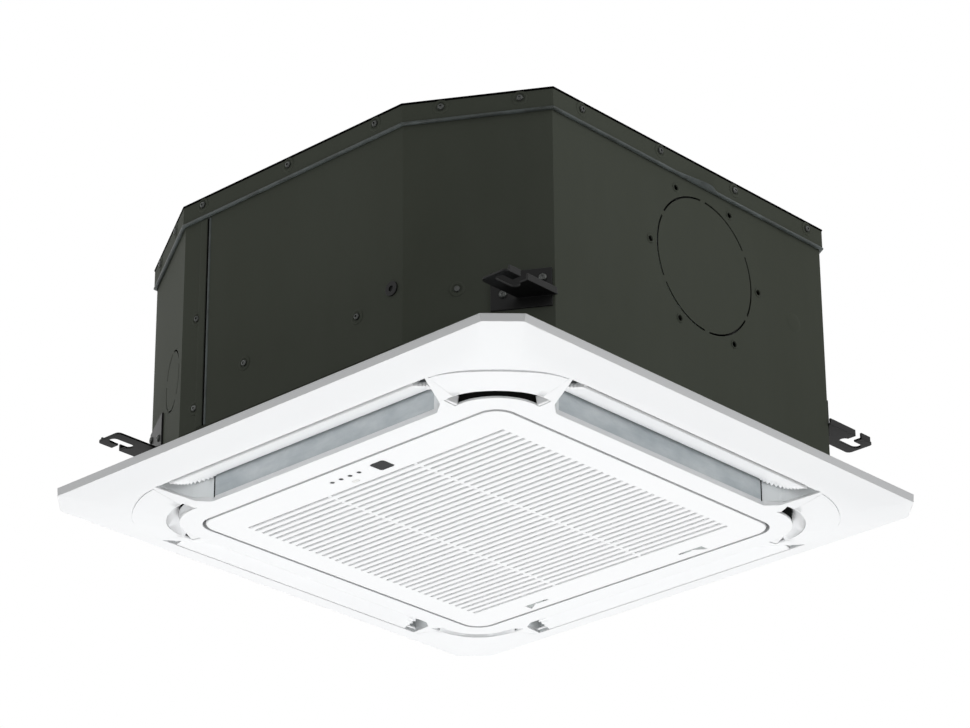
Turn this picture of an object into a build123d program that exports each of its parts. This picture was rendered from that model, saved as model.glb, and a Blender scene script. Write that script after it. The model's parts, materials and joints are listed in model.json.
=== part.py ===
from build123d import *
import os
from math import atan2, cos, hypot, radians, sin, sqrt

# A compact four-way ceiling cassette. Millimetres, +Z up. The origin is the panel's centre
# in the plane of the ceiling, so the panel hangs below zero and the casing stands above it.
# +X is the fresh-air side, -Y the signal receiver side, and the pipes leave at the
# (-X, +Y) corner.

# ---- panel ----
panel_half = 325.0
rim_height = 8.0
rim_draft = 1.3
rim_chamfer = 28.0
rim_chamfer_top = 30.0
panel_skin = 2.0
slot_outer = 287.0
slot_inner = 237.4
slot_outer_z = -18.5
slot_inner_z = -28.65
slot_outer_reach = 188.0
slot_bend_x = 248.0
slot_bend_reach = 171.0
slot_inner_reach = 157.0
slot_end_radius = 9.0
lip_height = 5.35
panel_depth = 30.0
dome_flat_half = 214.0
panel_top_z = 22.0

# ---- intake grille ----
grille_half = 209.25
grille_corner = 22.0
grille_gap = 1.5
grille_sheet = 2.5
slat_pitch = 9.6
slat_rows = 36
slat_gap = 3.0
slat_lean = 3.2
slat_depth = 6.0
bay_width = 116.0
bay_rib = 4.0
hinge_y = -203.5
hinge_z = -24.9
hinge_pin = 1.4
hinge_knuckle = 2.4
hinge_ear_x = 198.0
hinge_ear_width = 3.0
recess_wall_gap = 3.25
recess_wall = 2.0

# ---- corner covers ----
arc_centre = 187.0
arc_slot_inner = 50.0
arc_slot_outer = 63.5
cover_outer = 98.3
cover_groove = 1.0
cover_start_deg = 3.0
cover_seam = 0.4
scoop_lap = 1.5
scoop_gap = 1.0
scoop_lift = 2.65
scoop_rise = 14.0
scoop_wall = 1.6
arc_pad = 4.0
arc_pad_gap = 0.3
panel_screw_at = (243.0, 253.0)
shelf_start = 214.0
shelf_inset = 3.0
shelf_z = -7.0
shelf_thickness = 2.0

# ---- flaps ----
flap_gap = 0.6
flap_pivot_inset = 3.0
flap_pivot_rise = 4.3
flap_rest_tilt = 22.0
flap_thickness = 2.6
flap_half = 170.0
flap_corner = 22.0
flap_pin = 1.5
flap_pin_grip = 3.0
pin_clearance = 0.05
flap_arm_width = 4.0
flap_motor_length = 18.0
flap_motor_width = 24.0

# ---- outlet ducts ----
duct_wall = 2.0
guide_reach = 153.0
guide_sheet = 1.2

# ---- casing ----
casing_half = 285.0
chamfer_x = 128.0
chamfer_y = 76.0
sheet = 1.0
casing_bottom = 28.0
casing_height = 260.0
lid_overhang = 3.0
lid_flange = 24.0
lid_hem = 3.0
lid_gap = 0.3
bottom_flange = 14.0
seam_x = 122.0
seam_gap = 0.4
lap = 28.0
liner_gap = 5.0
liner_thickness = 10.0
top_liner = 8.0

# ---- screws on the sheet metal ----
screw_head = 3.4
screw_head_height = 2.4
screw_shank = 1.7
screw_length = 4.5
screw_hole_gap = 0.1
seam_screw_inset = 13.0
seam_screw_z = (52.0, 152.0)
front_screws = ((-63.0, 79.0), (95.5, 77.0))
front_lid_screws = (-128.0, -2.0, 121.0)
side_lid_screws = (-169.0, -51.0, 66.0, 185.0)
chamfer_lid_screws = (-36.0, 43.0)
lid_screw_drop = 9.0
plug_at = (142.7, 91.0)
plug_radius = 6.0
plug_bore = 3.0
plug_lip = 1.5

# ---- fresh-air port and cable knock-out ----
port_at = (17.5, 176.0)
port_radius = 73.0
port_slit = 2.0
port_tabs = 6
port_tab = 7.0
port_screw_circle = 84.0
port_screw_hole = 3.0
cable_port_z = 109.0
cable_port_shift = 30.0
cable_port_radius = 32.0

# ---- hanger brackets ----
hanger_pitch_x = 545.0
hanger_pitch_y = 523.0
hanger_slot_width = 11.0
hanger_slot_length = 30.0
hanger_mouth = 10.0
hanger_mouth_shift = -5.5
hanger_plate = 2.0
hanger_z = 63.0
hanger_inner_x = 255.0
hanger_outer_x = 288.0
hanger_outer_y = 281.0
hanger_lip = 5.0
hanger_tab_low = 52.0
hanger_tab_high = 92.0
hanger_tab_from = 12.0
hanger_tab_to = 72.0
hanger_screws = ((24.0, 68.0), (63.0, 82.0))
hanger_screw_head = 4.0

# ---- panel lugs ----
lug_at = 15.0
lug_width = 26.0
lug_height = 16.0
lug_reach = 26.0
lug_sheet = 2.0
panel_screw = 2.5
panel_screw_head = 5.5
boss_radius = 7.0

# ---- fan and motor ----
fan_radius = 165.0
fan_inlet = 128.0
fan_low = 96.0
fan_high = 199.0
fan_plate = 3.0
shroud_rise = 34.0
blade_count = 7
blade_inner = 92.0
blade_thickness = 2.5
blade_sweep = 40.0
hub_radius = 17.0
hub_low = 158.0
shaft_radius = 6.0
shaft_low = 140.0
motor_radius = 62.0
motor_low = 209.0
motor_high = 262.0
motor_foot_circle = 76.0
bushing_radius = 9.0
motor_foot = 3.0
mount_plate = 2.0
mount_radius = 100.0
motor_rim = 6.0
mount_post = 8.0
nut_flats = 19.0
nut_height = 8.0

# ---- coil ----
coil_outer = 221.0
coil_depth = 36.0
coil_corner = 80.0
coil_low = 60.0
coil_high = 276.0
coil_gap_from = 125.0
end_plate = 1.3
bend_count = 8
bend_tube = 3.5
bend_pitch = 25.0
header_radius = 8.0
header_at = (-194.0, 140.0)
gas_pipe_radius = 6.35
gas_pipe_z = 205.0
liquid_header_radius = 5.0
liquid_header_at = (-214.0, 140.0)
liquid_pipe_radius = 3.175
liquid_pipe_z = 165.0
pipe_proud = 60.0
stub_radius = 3.0
stub_count = 6
stub_pitch = 18.0
union_hex = 20.0
union_thread = 20.0
gas_union_flats = 24.0
gas_thread_radius = 9.5
liquid_union_flats = 17.0
liquid_thread_radius = 5.55
pipe_wall = 1.0
pipe_gap = 0.6
pipe_window_margin = 36.0
pipe_cover_lap = 16.0

# ---- drain pan, bell mouth and pump ----
pan_top = 92.0
pan_bore = 172.0
pan_wall = 7.5
pan_outlet_inner = 238.0
pan_outlet_outer = 268.0
pan_outlet_reach = 160.0
trough_gap = 5.0
sump_floor = 45.0
sump_from = 132.0
sump_to = 228.0
drain_plug_at = (-180.0, 180.0)
drain_plug_radius = 10.0
bell_throat = 122.0
bell_mouth_radius = 152.0
bell_flange = 186.0
bell_top = 102.0
bell_sheet = 2.0
pump_at = (-178.0, 205.0)
pump_radius = 22.0
pump_low = 96.0
pump_high = 150.0
impeller_radius = 12.0
impeller_low = 50.0
impeller_height = 10.0
impeller_shaft = 2.0
impeller_grip = 14.0
pump_foot = 7.0
drain_radius = 12.5
drain_bore = 10.0
drain_step = 1.0
drain_spigot = 34.0
riser_radius = 10.0
riser_bore = 8.0
drain_z = 225.0
drain_proud = 40.0
float_at = (-210.0, 166.0)
float_radius = 9.0
float_height = 16.0
float_travel = 12.0
float_rod = 2.5

# ---- control box ----
box_half = 130.0
box_y = (158.0, 202.0)
box_low = -10.0
box_wall = 1.5
board_x = (-120.0, 55.0)
board_z = 12.0
board_post = 4.0

# ---- receiver ----
window_at = (33.4, -186.6)
window_size = (19.0, 18.0)
window_corner = 3.0
lamp_x = (-33.0, -20.5, -8.0, 4.5)
lamp_y = -189.8
lamp_radius = 2.3
button_at = (-13.0, -176.5)
button_size = (8.0, 4.0)
small_gap = 0.15

# ---- latches ----
latch_slit = (93.0, 109.0)
latch_y = 195.5
latch_slit_width = 3.0
latch_scoop = 15.0
latch_travel = 6.0
latch_bar_to = 123.6
keeper_gap = 0.3

# ---- seal and filter ----
seal_half = 280.0
seal_bore = 206.0
seal_gap = 2.0
filter_half_x = 184.0
filter_y = (-167.0, 184.0)
filter_thickness = 4.0
filter_rim = 7.0
filter_ribs = 5

# ---- derived values ----
casing_top = casing_bottom + casing_height
sheet_top = casing_top - sheet
casing_sheet_top = sheet_top - lid_hem
chamfer_length = hypot(chamfer_x, chamfer_y)
normal_x = chamfer_y / chamfer_length
normal_y = chamfer_x / chamfer_length
opening_half = grille_half + grille_gap
opening_corner = grille_corner + grille_gap
recess_half = grille_half + recess_wall_gap
grille_z = -panel_depth
shelf_end = panel_half - shelf_inset
slot_slope = atan2(slot_outer_z - slot_inner_z, slot_outer - slot_inner)
flap_pivot_x = slot_outer - flap_pivot_inset * cos(slot_slope) - flap_pivot_rise * sin(slot_slope)
flap_pivot_z = slot_outer_z - flap_pivot_inset * sin(slot_slope) + flap_pivot_rise * cos(slot_slope)
flap_swing = flap_pivot_x - slot_inner - flap_gap
flap_reach = sqrt(flap_swing**2 - flap_pivot_rise**2)
flap_outer = flap_pivot_inset - flap_gap
slat_field_y = slat_pitch * slat_rows / 2
slat_field_x = (3 * bay_width + 2 * bay_rib) / 2
coil_inner = coil_outer - coil_depth

SIDES = {"right": 0, "rear": 90, "left": 180, "front": 270}
CORNERS = {"front_right": (1, -1), "front_left": (-1, -1), "rear_right": (1, 1), "rear_left": (-1, 1)}

os.makedirs("parts", exist_ok=True)


def save(piece, name):
    """Label a finished piece and write its file."""
    piece.part.label = name
    export_step(piece.part, f"parts/{name}.step")


def polygon(points, z, height, mode=Mode.ADD, corner=0.0, turn=0.0):
    """A straight-sided block over an outline, from z upwards, turned about the origin."""
    with BuildSketch(Plane.XY.rotated((0, 0, turn)).offset(z)) as outline:
        Polygon(*points, align=None)
        if corner:
            fillet(outline.vertices(), corner)
    extrude(outline.sketch, amount=height, mode=mode)


def block(x_range, y_range, z_range, mode=Mode.ADD, corner=0.0, turn=0.0):
    """A rectangular block between two opposite corners, turned about the origin."""
    (x0, x1), (y0, y1) = sorted(x_range), sorted(y_range)
    points = [(x0, y0), (x1, y0), (x1, y1), (x0, y1)]
    polygon(points, z_range[0], z_range[1] - z_range[0], mode, corner, turn)


def square(half, z_range, mode=Mode.ADD, corner=0.0):
    """A centred square block with rounded upright edges."""
    block((-half, half), (-half, half), z_range, mode, corner)


def disc(centre, radius, z_range, mode=Mode.ADD):
    """A round post or an upright round hole."""
    with BuildSketch(Plane.XY.offset(z_range[0])) as outline:
        with Locations(centre):
            Circle(radius)
    extrude(outline.sketch, amount=z_range[1] - z_range[0], mode=mode)


def round_bar(plane, centre, radius, length, mode=Mode.ADD):
    """A round bar or hole along a plane's normal."""
    with BuildSketch(plane) as outline:
        with Locations(centre):
            Circle(radius)
    extrude(outline.sketch, amount=length, mode=mode)


def chamfered_square(half, cut):
    """The eight corners of a square whose corners are cut off evenly."""
    near = half - cut
    return [
        (half, -near), (half, near), (near, half), (-near, half),
        (-half, near), (-half, -near), (-near, -half), (near, -half),
    ]


def chamfer_height(x, outset):
    """Distance in Y of the casing's chamfer line at x, moved outwards by outset."""
    offset = normal_x * (casing_half - chamfer_x) + normal_y * casing_half + outset
    return (offset - normal_x * x) / normal_y


def casing_outline(outset):
    """The casing's eight-sided outline, moved outwards by outset."""
    half = casing_half + outset
    offset = normal_x * (casing_half - chamfer_x) + normal_y * casing_half + outset
    x = (offset - normal_y * half) / normal_x
    y = (offset - normal_x * half) / normal_y
    return [(half, -y), (half, y), (x, half), (-x, half), (-half, y), (-half, -y), (-x, -half), (x, -half)]


def corner_plane(sx, sy, outset=0.0):
    """The upright plane of one chamfer, facing outwards, with its origin at mid-width."""
    x = sx * (casing_half - chamfer_x / 2 + outset * normal_x)
    y = sy * (casing_half - chamfer_y / 2 + outset * normal_y)
    return Plane(
        origin=(x, y, 0),
        x_dir=(-sy * chamfer_x, sx * chamfer_y, 0),
        z_dir=(sx * chamfer_y, sy * chamfer_x, 0),
    )


def side_plane(outset=0.0, turn=0.0):
    """The upright plane of one flat side, facing outwards; turn 0 is the +X side."""
    a = radians(turn)
    reach = casing_half + outset
    return Plane(
        origin=(reach * cos(a), reach * sin(a), 0), x_dir=(-sin(a), cos(a), 0), z_dir=(cos(a), sin(a), 0)
    )


def slot_prism(z_range, outset=0.0, mode=Mode.ADD, turn=0.0):
    """An upright block over one air outlet's outline; turn 0 is the outlet on the +X side."""
    with BuildSketch(Plane.XY.rotated((0, 0, turn)).offset(z_range[0])) as outline:
        Polygon(
            (slot_outer, -slot_outer_reach),
            (slot_outer, slot_outer_reach),
            (slot_bend_x, slot_bend_reach),
            (slot_inner, slot_inner_reach),
            (slot_inner, -slot_inner_reach),
            (slot_bend_x, -slot_bend_reach),
            align=None,
        )
        fillet(outline.vertices().sort_by(Axis.X)[:4], slot_end_radius)
        if outset:
            offset(amount=outset, kind=Kind.INTERSECTION)
    extrude(outline.sketch, amount=z_range[1] - z_range[0], mode=mode)


def sector(inner, outer, start, end, z_range, sx, sy, mode=Mode.ADD):
    """A ring sector about a panel corner's arc centre, in degrees from the X side."""
    with BuildSketch(Plane.XY.offset(z_range[0])) as outline:
        with BuildLine():
            points = [
                (sx * (arc_centre + r * cos(radians(a))), sy * (arc_centre + r * sin(radians(a))))
                for r, a in (
                    (outer, start), (outer, (start + end) / 2), (outer, end),
                    (inner, end), (inner, (start + end) / 2), (inner, start),
                )
            ]
            ThreePointArc(*points[:3])
            Line(points[2], points[3])
            ThreePointArc(*points[3:])
            Line(points[5], points[0])
        make_face()
    extrude(outline.sketch, amount=z_range[1] - z_range[0], mode=mode)


# ---------------------------------------------------------------- the panel's space
# The hollow above the panel's skin. It bounds everything that rests on the skin.
dome_profile = [
    (dome_flat_half, 20.0, grille_z),
    (slot_inner, 22.0, slot_inner_z),
    (slot_outer, 26.0, slot_outer_z),
    (panel_half - rim_draft, rim_chamfer, -rim_height),
    (panel_half, rim_chamfer_top, 0.0),
]
with BuildPart() as cavity:
    for half, cut, z in dome_profile[:4]:
        with BuildSketch(Plane.XY.offset(z + panel_skin)):
            Polygon(*chamfered_square(half - panel_skin / 4, cut), align=None)
    with BuildSketch(Plane.XY.offset(panel_top_z + 20)):
        Polygon(*chamfered_square(panel_half - panel_skin, rim_chamfer_top), align=None)
    loft(ruled=True)

with BuildPart() as skin:
    for half, cut, z in dome_profile:
        with BuildSketch(Plane.XY.offset(z)):
            Polygon(*chamfered_square(half, cut), align=None)
    loft(ruled=True)
    add(cavity.part, mode=Mode.SUBTRACT)

# Each outlet's short moulded lip stands on the skin round the slot.
with BuildPart() as lips:
    for turn in SIDES.values():
        slot_prism((grille_z, slot_inner_z + lip_height), duct_wall, turn=turn)
    for turn in SIDES.values():
        slot_prism((grille_z - 1, 0), mode=Mode.SUBTRACT, turn=turn)
    add(cavity.part, mode=Mode.INTERSECT)

# ---------------------------------------------------------------- panel frame
with BuildPart() as panel_frame:
    add(skin.part)
    square(opening_half, (grille_z - 1, grille_z + 8), Mode.SUBTRACT, opening_corner)
    for turn in SIDES.values():
        slot_prism((grille_z - 1, 0), mode=Mode.SUBTRACT, turn=turn)
    add(lips.part)
    square(recess_half + recess_wall, (grille_z + panel_skin / 2, panel_top_z), corner=opening_corner + 2)
    square(recess_half, (grille_z - 1, panel_top_z + 1), Mode.SUBTRACT, opening_corner)
    for sx, sy in CORNERS.values():
        sector(arc_slot_inner, arc_slot_outer, -8, 98, (grille_z - 1, -12), sx, sy, Mode.SUBTRACT)
        sector(
            arc_slot_outer - 1, cover_outer + cover_groove, cover_start_deg, 90 - cover_start_deg,
            (grille_z - 1, -12), sx, sy, Mode.SUBTRACT,
        )
        shelf = [(shelf_start, shelf_end), (shelf_start, shelf_start), (shelf_end, shelf_start)]
        shelf += [(shelf_end, shelf_end - rim_chamfer), (shelf_end - rim_chamfer, shelf_end)]
        polygon([(sx * x, sy * y) for x, y in shelf], shelf_z, shelf_thickness)
        screw_x, screw_y = sx * panel_screw_at[0], sy * panel_screw_at[1]
        disc((screw_x, screw_y), boss_radius, (shelf_z, casing_bottom))
        disc((screw_x, screw_y), panel_screw + 0.3, (shelf_z - 1, casing_bottom + 1), Mode.SUBTRACT)
    for sx in (-1, 1):
        ear = (sx * hinge_ear_x, sx * (hinge_ear_x + hinge_ear_width))
        block(ear, (hinge_y - hinge_knuckle, hinge_y + hinge_knuckle), (hinge_z, hinge_z + 12))
        block(ear, (-recess_half - 1, hinge_y + hinge_knuckle), (hinge_z + 8, hinge_z + 12))
        ear_face = Plane.YZ.offset(sx * hinge_ear_x)
        round_bar(ear_face, (hinge_y, hinge_z), hinge_knuckle, sx * hinge_ear_width)
        round_bar(
            ear_face, (hinge_y, hinge_z), hinge_pin + pin_clearance,
            sx * hinge_ear_width, Mode.SUBTRACT,
        )
        keeper = (sx * (latch_bar_to + keeper_gap), sx * (latch_bar_to + keeper_gap + 4))
        block(keeper, (latch_y - 5, recess_half + 1), (grille_z + 4, grille_z + 16))
save(panel_frame, "panel_frame")

# ---------------------------------------------------------------- panel seal
# A foam gasket between the panel and the casing.
with BuildPart() as panel_seal:
    square(seal_half, (panel_top_z, casing_bottom))
    for sx, sy in CORNERS.values():
        cut = [(seal_half + 1, seal_half + 1), (seal_half + 1, arc_centre), (arc_centre, seal_half + 1)]
        polygon([(sx * x, sy * y) for x, y in cut], panel_top_z, casing_bottom - panel_top_z, Mode.SUBTRACT)
    square(seal_bore, (panel_top_z, casing_bottom), Mode.SUBTRACT, opening_corner)
    for turn in SIDES.values():
        block(
            (pan_outlet_inner, pan_outlet_outer + seal_gap), (-pan_outlet_reach, pan_outlet_reach),
            (panel_top_z, casing_bottom), Mode.SUBTRACT, turn=turn,
        )
save(panel_seal, "panel_seal")

# A dark foam strip stands behind the inner edge of each arc slot.
with BuildPart() as slot_strips:
    for sx, sy in CORNERS.values():
        pad_outer = arc_slot_inner - arc_pad_gap
        sector(pad_outer - arc_pad, pad_outer, -8, 98, (grille_z, shelf_z - 4), sx, sy)
    add(cavity.part, mode=Mode.INTERSECT)
save(slot_strips, "slot_strips")

# ---------------------------------------------------------------- corner covers
# Each cover's inner edge curls up into a scoop, so that the arc slot opens inwards only.
cover_from, cover_to = cover_start_deg + cover_seam / 2, 90 - cover_start_deg - cover_seam / 2
scoop_foot = arc_slot_outer + scoop_lap
scoop_crest = arc_slot_inner + scoop_gap
scoop_low = slot_inner_z + scoop_lift
scoop_high = scoop_low + scoop_rise
with BuildPart() as scoops:
    for sx, sy in CORNERS.values():
        corner_axis = Axis((sx * arc_centre, sy * arc_centre, 0), (0, 0, 1))
        with BuildSketch(Plane(origin=corner_axis.position, x_dir=(1, 0, 0), z_dir=(0, -1, 0))) as wall:
            Polygon(
                (scoop_foot, scoop_low), (arc_slot_outer, scoop_low), (scoop_crest, scoop_high - scoop_wall),
                (scoop_crest, scoop_high), (arc_slot_outer, scoop_low + scoop_wall),
                (scoop_foot, scoop_low + scoop_wall),
                align=None,
            )
        revolve(wall.sketch, axis=corner_axis)
with BuildPart() as corner_covers:
    for sx, sy in CORNERS.values():
        sector(arc_slot_outer, cover_outer, cover_from, cover_to, (grille_z, -10), sx, sy)
    add(skin.part, mode=Mode.INTERSECT)
    with BuildPart() as curls:
        for sx, sy in CORNERS.values():
            sector(scoop_crest - 1, cover_outer, cover_from, cover_to, (grille_z, -10), sx, sy)
        add(scoops.part, mode=Mode.INTERSECT)
save(corner_covers, "corner_covers")

# ---------------------------------------------------------------- panel screws
with BuildPart() as panel_screws:
    for sx, sy in CORNERS.values():
        centre = (sx * panel_screw_at[0], sy * panel_screw_at[1])
        disc(centre, panel_screw_head, (shelf_z - 4, shelf_z))
        disc(centre, panel_screw, (shelf_z, casing_bottom + lug_sheet + 4))
save(panel_screws, "panel_screws")

# ---------------------------------------------------------------- outlet ducts and guides
with BuildPart() as outlet_ducts:
    for turn in SIDES.values():
        slot_prism((grille_z, panel_top_z), duct_wall, turn=turn)
    for turn in SIDES.values():
        slot_prism((grille_z - 1, panel_top_z + 1), mode=Mode.SUBTRACT, turn=turn)
        block(
            (slot_inner - duct_wall - 1, slot_inner + 1), (-guide_reach, guide_reach),
            (grille_z, panel_top_z + 1), Mode.SUBTRACT, turn=turn,
        )
        pin_plane = Plane.XZ.rotated((0, 0, turn)).offset(-slot_outer_reach - 10)
        round_bar(
            pin_plane, (flap_pivot_x, flap_pivot_z), flap_pin + pin_clearance,
            2 * slot_outer_reach + 20, Mode.SUBTRACT,
        )
    add(cavity.part, mode=Mode.INTERSECT)
    add(lips.part, mode=Mode.SUBTRACT)
save(outlet_ducts, "outlet_ducts")

with BuildPart() as air_guides:
    for turn in SIDES.values():
        block(
            (slot_inner - guide_sheet, slot_inner), (-guide_reach, guide_reach),
            (slot_inner_z + lip_height, panel_top_z), turn=turn,
        )
save(air_guides, "air_guides")

# ---------------------------------------------------------------- flaps
flap_tilt = radians(flap_rest_tilt)
flap_plane = Plane(
    origin=(flap_pivot_x, 0, flap_pivot_z), x_dir=(cos(flap_tilt), 0, -sin(flap_tilt)),
    z_dir=(sin(flap_tilt), 0, cos(flap_tilt)),
)
flap_under = flap_plane.offset(-flap_pivot_rise)
arm_plane = Plane(origin=flap_plane.origin, x_dir=flap_plane.x_dir, z_dir=(0, -1, 0))
with BuildPart() as flap_master:
    with BuildSketch(flap_under) as blade:
        Polygon(
            (-flap_reach, -flap_half), (flap_outer, -flap_half), (flap_outer, flap_half),
            (-flap_reach, flap_half), align=None,
        )
        fillet(blade.vertices().sort_by(Axis.X)[:2], flap_corner)
    extrude(amount=flap_thickness)
    for sy in (-1, 1):
        arm_face = arm_plane.offset(-sy * flap_half)
        with BuildSketch(arm_face):
            Polygon(
                (flap_outer, -flap_pivot_rise), (flap_outer, flap_outer), (-flap_outer, flap_outer),
                (-4 * flap_outer, -flap_pivot_rise + flap_thickness), (-4 * flap_outer, -flap_pivot_rise),
                align=None,
            )
        extrude(amount=sy * flap_arm_width)
        pin_length = slot_outer_reach + duct_wall + flap_pin_grip - flap_half
        round_bar(arm_face, (0, 0), flap_pin, -sy * pin_length)
for side, turn in SIDES.items():
    with BuildPart() as flap:
        add(flap_master.part, rotation=(0, 0, turn))
    save(flap, f"flap_{side}")

with BuildPart() as flap_motors:
    for turn in SIDES.values():
        motor_y = slot_outer_reach + duct_wall + flap_gap
        block(
            (flap_pivot_x + 3 - flap_motor_width, flap_pivot_x + 3), (motor_y, motor_y + flap_motor_length),
            (grille_z, flap_motor_width / 3), turn=turn,
        )
    for turn in SIDES.values():
        round_bar(
            Plane.XZ.rotated((0, 0, turn)), (flap_pivot_x, flap_pivot_z), flap_pin + pin_clearance,
            -(slot_outer_reach + duct_wall + flap_pin_grip + flap_gap), Mode.SUBTRACT,
        )
    add(cavity.part, mode=Mode.INTERSECT)
save(flap_motors, "flap_motors")

# ---------------------------------------------------------------- intake grille
slat_top = grille_z + slat_depth
with BuildPart() as intake_grille:
    square(grille_half, (grille_z, grille_z + grille_sheet), corner=grille_corner)
    block((-slat_field_x - 3, slat_field_x + 3), (-slat_field_y - 3, slat_field_y + 3), (grille_z, slat_top))
    with BuildSketch(Plane.YZ.offset(-slat_field_x)) as slits:
        with Locations(*[(slat_pitch * (row - (slat_rows - 1) / 2), 0) for row in range(slat_rows)]):
            Polygon(
                (0, grille_z - 1), (slat_gap, grille_z - 1),
                (slat_gap + slat_lean, slat_top + 1), (slat_lean, slat_top + 1), align=None,
            )
    extrude(amount=2 * slat_field_x, mode=Mode.SUBTRACT)
    for bay in (-1, 1):
        rib_x = bay * (bay_width + bay_rib) / 2
        block(
            (rib_x - bay_rib / 2, rib_x + bay_rib / 2), (-slat_field_y, slat_field_y),
            (grille_z + slat_depth / 4, slat_top),
        )
    for sx in (-1, 1):
        knuckle = (sx * (hinge_ear_x - small_gap), sx * (hinge_ear_x - 8))
        block(knuckle, (hinge_y - hinge_knuckle, hinge_y + hinge_knuckle), (grille_z + 1, hinge_z))
        knuckle_face = Plane.YZ.offset(knuckle[1])
        round_bar(knuckle_face, (hinge_y, hinge_z), hinge_knuckle, knuckle[0] - knuckle[1])
        round_bar(knuckle_face, (hinge_y, hinge_z), hinge_pin, sx * (8 + hinge_ear_width))
        slit = (sx * latch_slit[0], sx * latch_slit[1])
        half_slit = latch_slit_width / 2
        block(slit, (latch_y - half_slit, latch_y + half_slit), (grille_z - 1, slat_top), Mode.SUBTRACT)
        with BuildSketch(Plane.XY.offset(grille_z)):
            Polygon(
                (sx * (latch_slit[1] - 1), latch_y - half_slit),
                (sx * (latch_slit[1] + latch_scoop), latch_y - half_slit),
                (sx * (latch_slit[1] + latch_scoop), grille_half - 5), align=None,
            )
        extrude(amount=grille_sheet / 2, mode=Mode.SUBTRACT)
    window_hole = (window_size[0] / 2 + small_gap, window_size[1] / 2 + small_gap)
    block(
        (window_at[0] - window_hole[0], window_at[0] + window_hole[0]),
        (window_at[1] - window_hole[1], window_at[1] + window_hole[1]),
        (grille_z - 1, slat_top), Mode.SUBTRACT, window_corner,
    )
    for x in lamp_x:
        disc((x, lamp_y), lamp_radius + small_gap, (grille_z - 1, slat_top), Mode.SUBTRACT)
    with BuildSketch(Plane.XY.offset(grille_z - 1)):
        with Locations(button_at):
            SlotOverall(button_size[0] + 2 * small_gap, button_size[1] + 2 * small_gap)
    extrude(amount=slat_depth + 2, mode=Mode.SUBTRACT)
save(intake_grille, "intake_grille")

# ---------------------------------------------------------------- receiver parts
housing_low = grille_z + grille_sheet
with BuildPart() as receiver_housing:
    block((-46, 52), (window_at[1] - 12, window_at[1] + 12), (housing_low, housing_low + 9))
    block(
        (-44, 50), (window_at[1] - 10.5, window_at[1] + 10.5),
        (housing_low - 1, housing_low + 7.5), Mode.SUBTRACT,
    )
    block((-47, 53), (-slat_field_y - 3 - small_gap, 0), (housing_low - 1, housing_low + 12), Mode.SUBTRACT)
    housing_front = -slat_field_y - 3 - small_gap
    block((-44.5, 50.5), (housing_front - 1.2, housing_front), (housing_low, housing_low + 9))
    block((-44, 50), (window_at[1] - 10.5, housing_front - 1.2), (housing_low + 4.5, housing_low + 6))
    block(
        (button_at[0] - button_size[0], button_at[0] + button_size[0]), (button_at[1] - button_size[1], 0),
        (housing_low - 1, housing_low + 4.5), Mode.SUBTRACT,
    )
save(receiver_housing, "receiver_housing")

with BuildPart() as receiver_window:
    block(
        (window_at[0] - window_size[0] / 2, window_at[0] + window_size[0] / 2),
        (window_at[1] - window_size[1] / 2, window_at[1] + window_size[1] / 2),
        (grille_z, housing_low + 4.5), corner=window_corner,
    )
save(receiver_window, "receiver_window")

with BuildPart() as indicator_lights:
    for x in lamp_x:
        disc((x, lamp_y), lamp_radius, (grille_z, housing_low + 4.5))
save(indicator_lights, "indicator_lights")

with BuildPart() as manual_button:
    with BuildSketch(Plane.XY.offset(grille_z)):
        with Locations(button_at):
            SlotOverall(*button_size)
    extrude(amount=grille_sheet + 1)
save(manual_button, "manual_button")

# ---------------------------------------------------------------- grille latches
for side, sx in (("left", -1), ("right", 1)):
    with BuildPart() as latch:
        half_slit = latch_slit_width / 2 - small_gap
        finger = (sx * (latch_slit[1] - small_gap), sx * (latch_slit[0] + latch_travel + 2 * small_gap))
        block(finger, (latch_y - half_slit, latch_y + half_slit), (grille_z, housing_low + small_gap))
        bar = (sx * latch_slit[0], sx * latch_bar_to)
        block(bar, (latch_y - 4, latch_y + 4), (housing_low + small_gap, housing_low + 3.5))
        nose = (sx * (latch_bar_to - 6), sx * latch_bar_to)
        block(nose, (latch_y - 4, latch_y + 4), (housing_low + 3.5, housing_low + 9))
    save(latch, f"latch_{side}")

# ---------------------------------------------------------------- air filter
with BuildPart() as filter_frame:
    block((-filter_half_x, filter_half_x), filter_y, (slat_top, slat_top + filter_thickness))
    inner_x = filter_half_x - filter_rim
    inner_y = (filter_y[0] + filter_rim, filter_y[1] - filter_rim)
    block((-inner_x, inner_x), inner_y, (slat_top, slat_top + filter_thickness), Mode.SUBTRACT)
    for rib in range(1, filter_ribs + 1):
        x = -inner_x + 2 * inner_x * rib / (filter_ribs + 1)
        y = inner_y[0] + (inner_y[1] - inner_y[0]) * rib / (filter_ribs + 1)
        block((x - 1, x + 1), inner_y, (slat_top, slat_top + filter_thickness / 2))
        block((-inner_x, inner_x), (y - 1, y + 1), (slat_top, slat_top + filter_thickness / 2))
save(filter_frame, "filter_frame")

with BuildPart() as filter_mesh:
    mesh_z = slat_top + filter_thickness / 2
    block((-inner_x, inner_x), inner_y, (mesh_z, mesh_z + 0.6))
save(filter_mesh, "filter_mesh")

# ---------------------------------------------------------------- casing sheets
def screws(plane, places, mode=Mode.ADD, head=screw_head):
    """Sheet-metal screws, or with a cutting mode their holes, along a plane's normal."""
    for place in places:
        if mode == Mode.ADD:
            round_bar(plane, place, head, screw_head_height)
            round_bar(plane, place, screw_shank, -screw_length)
        else:
            round_bar(plane.offset(1), place, screw_shank + screw_hole_gap, -screw_length - 2, mode)


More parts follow.
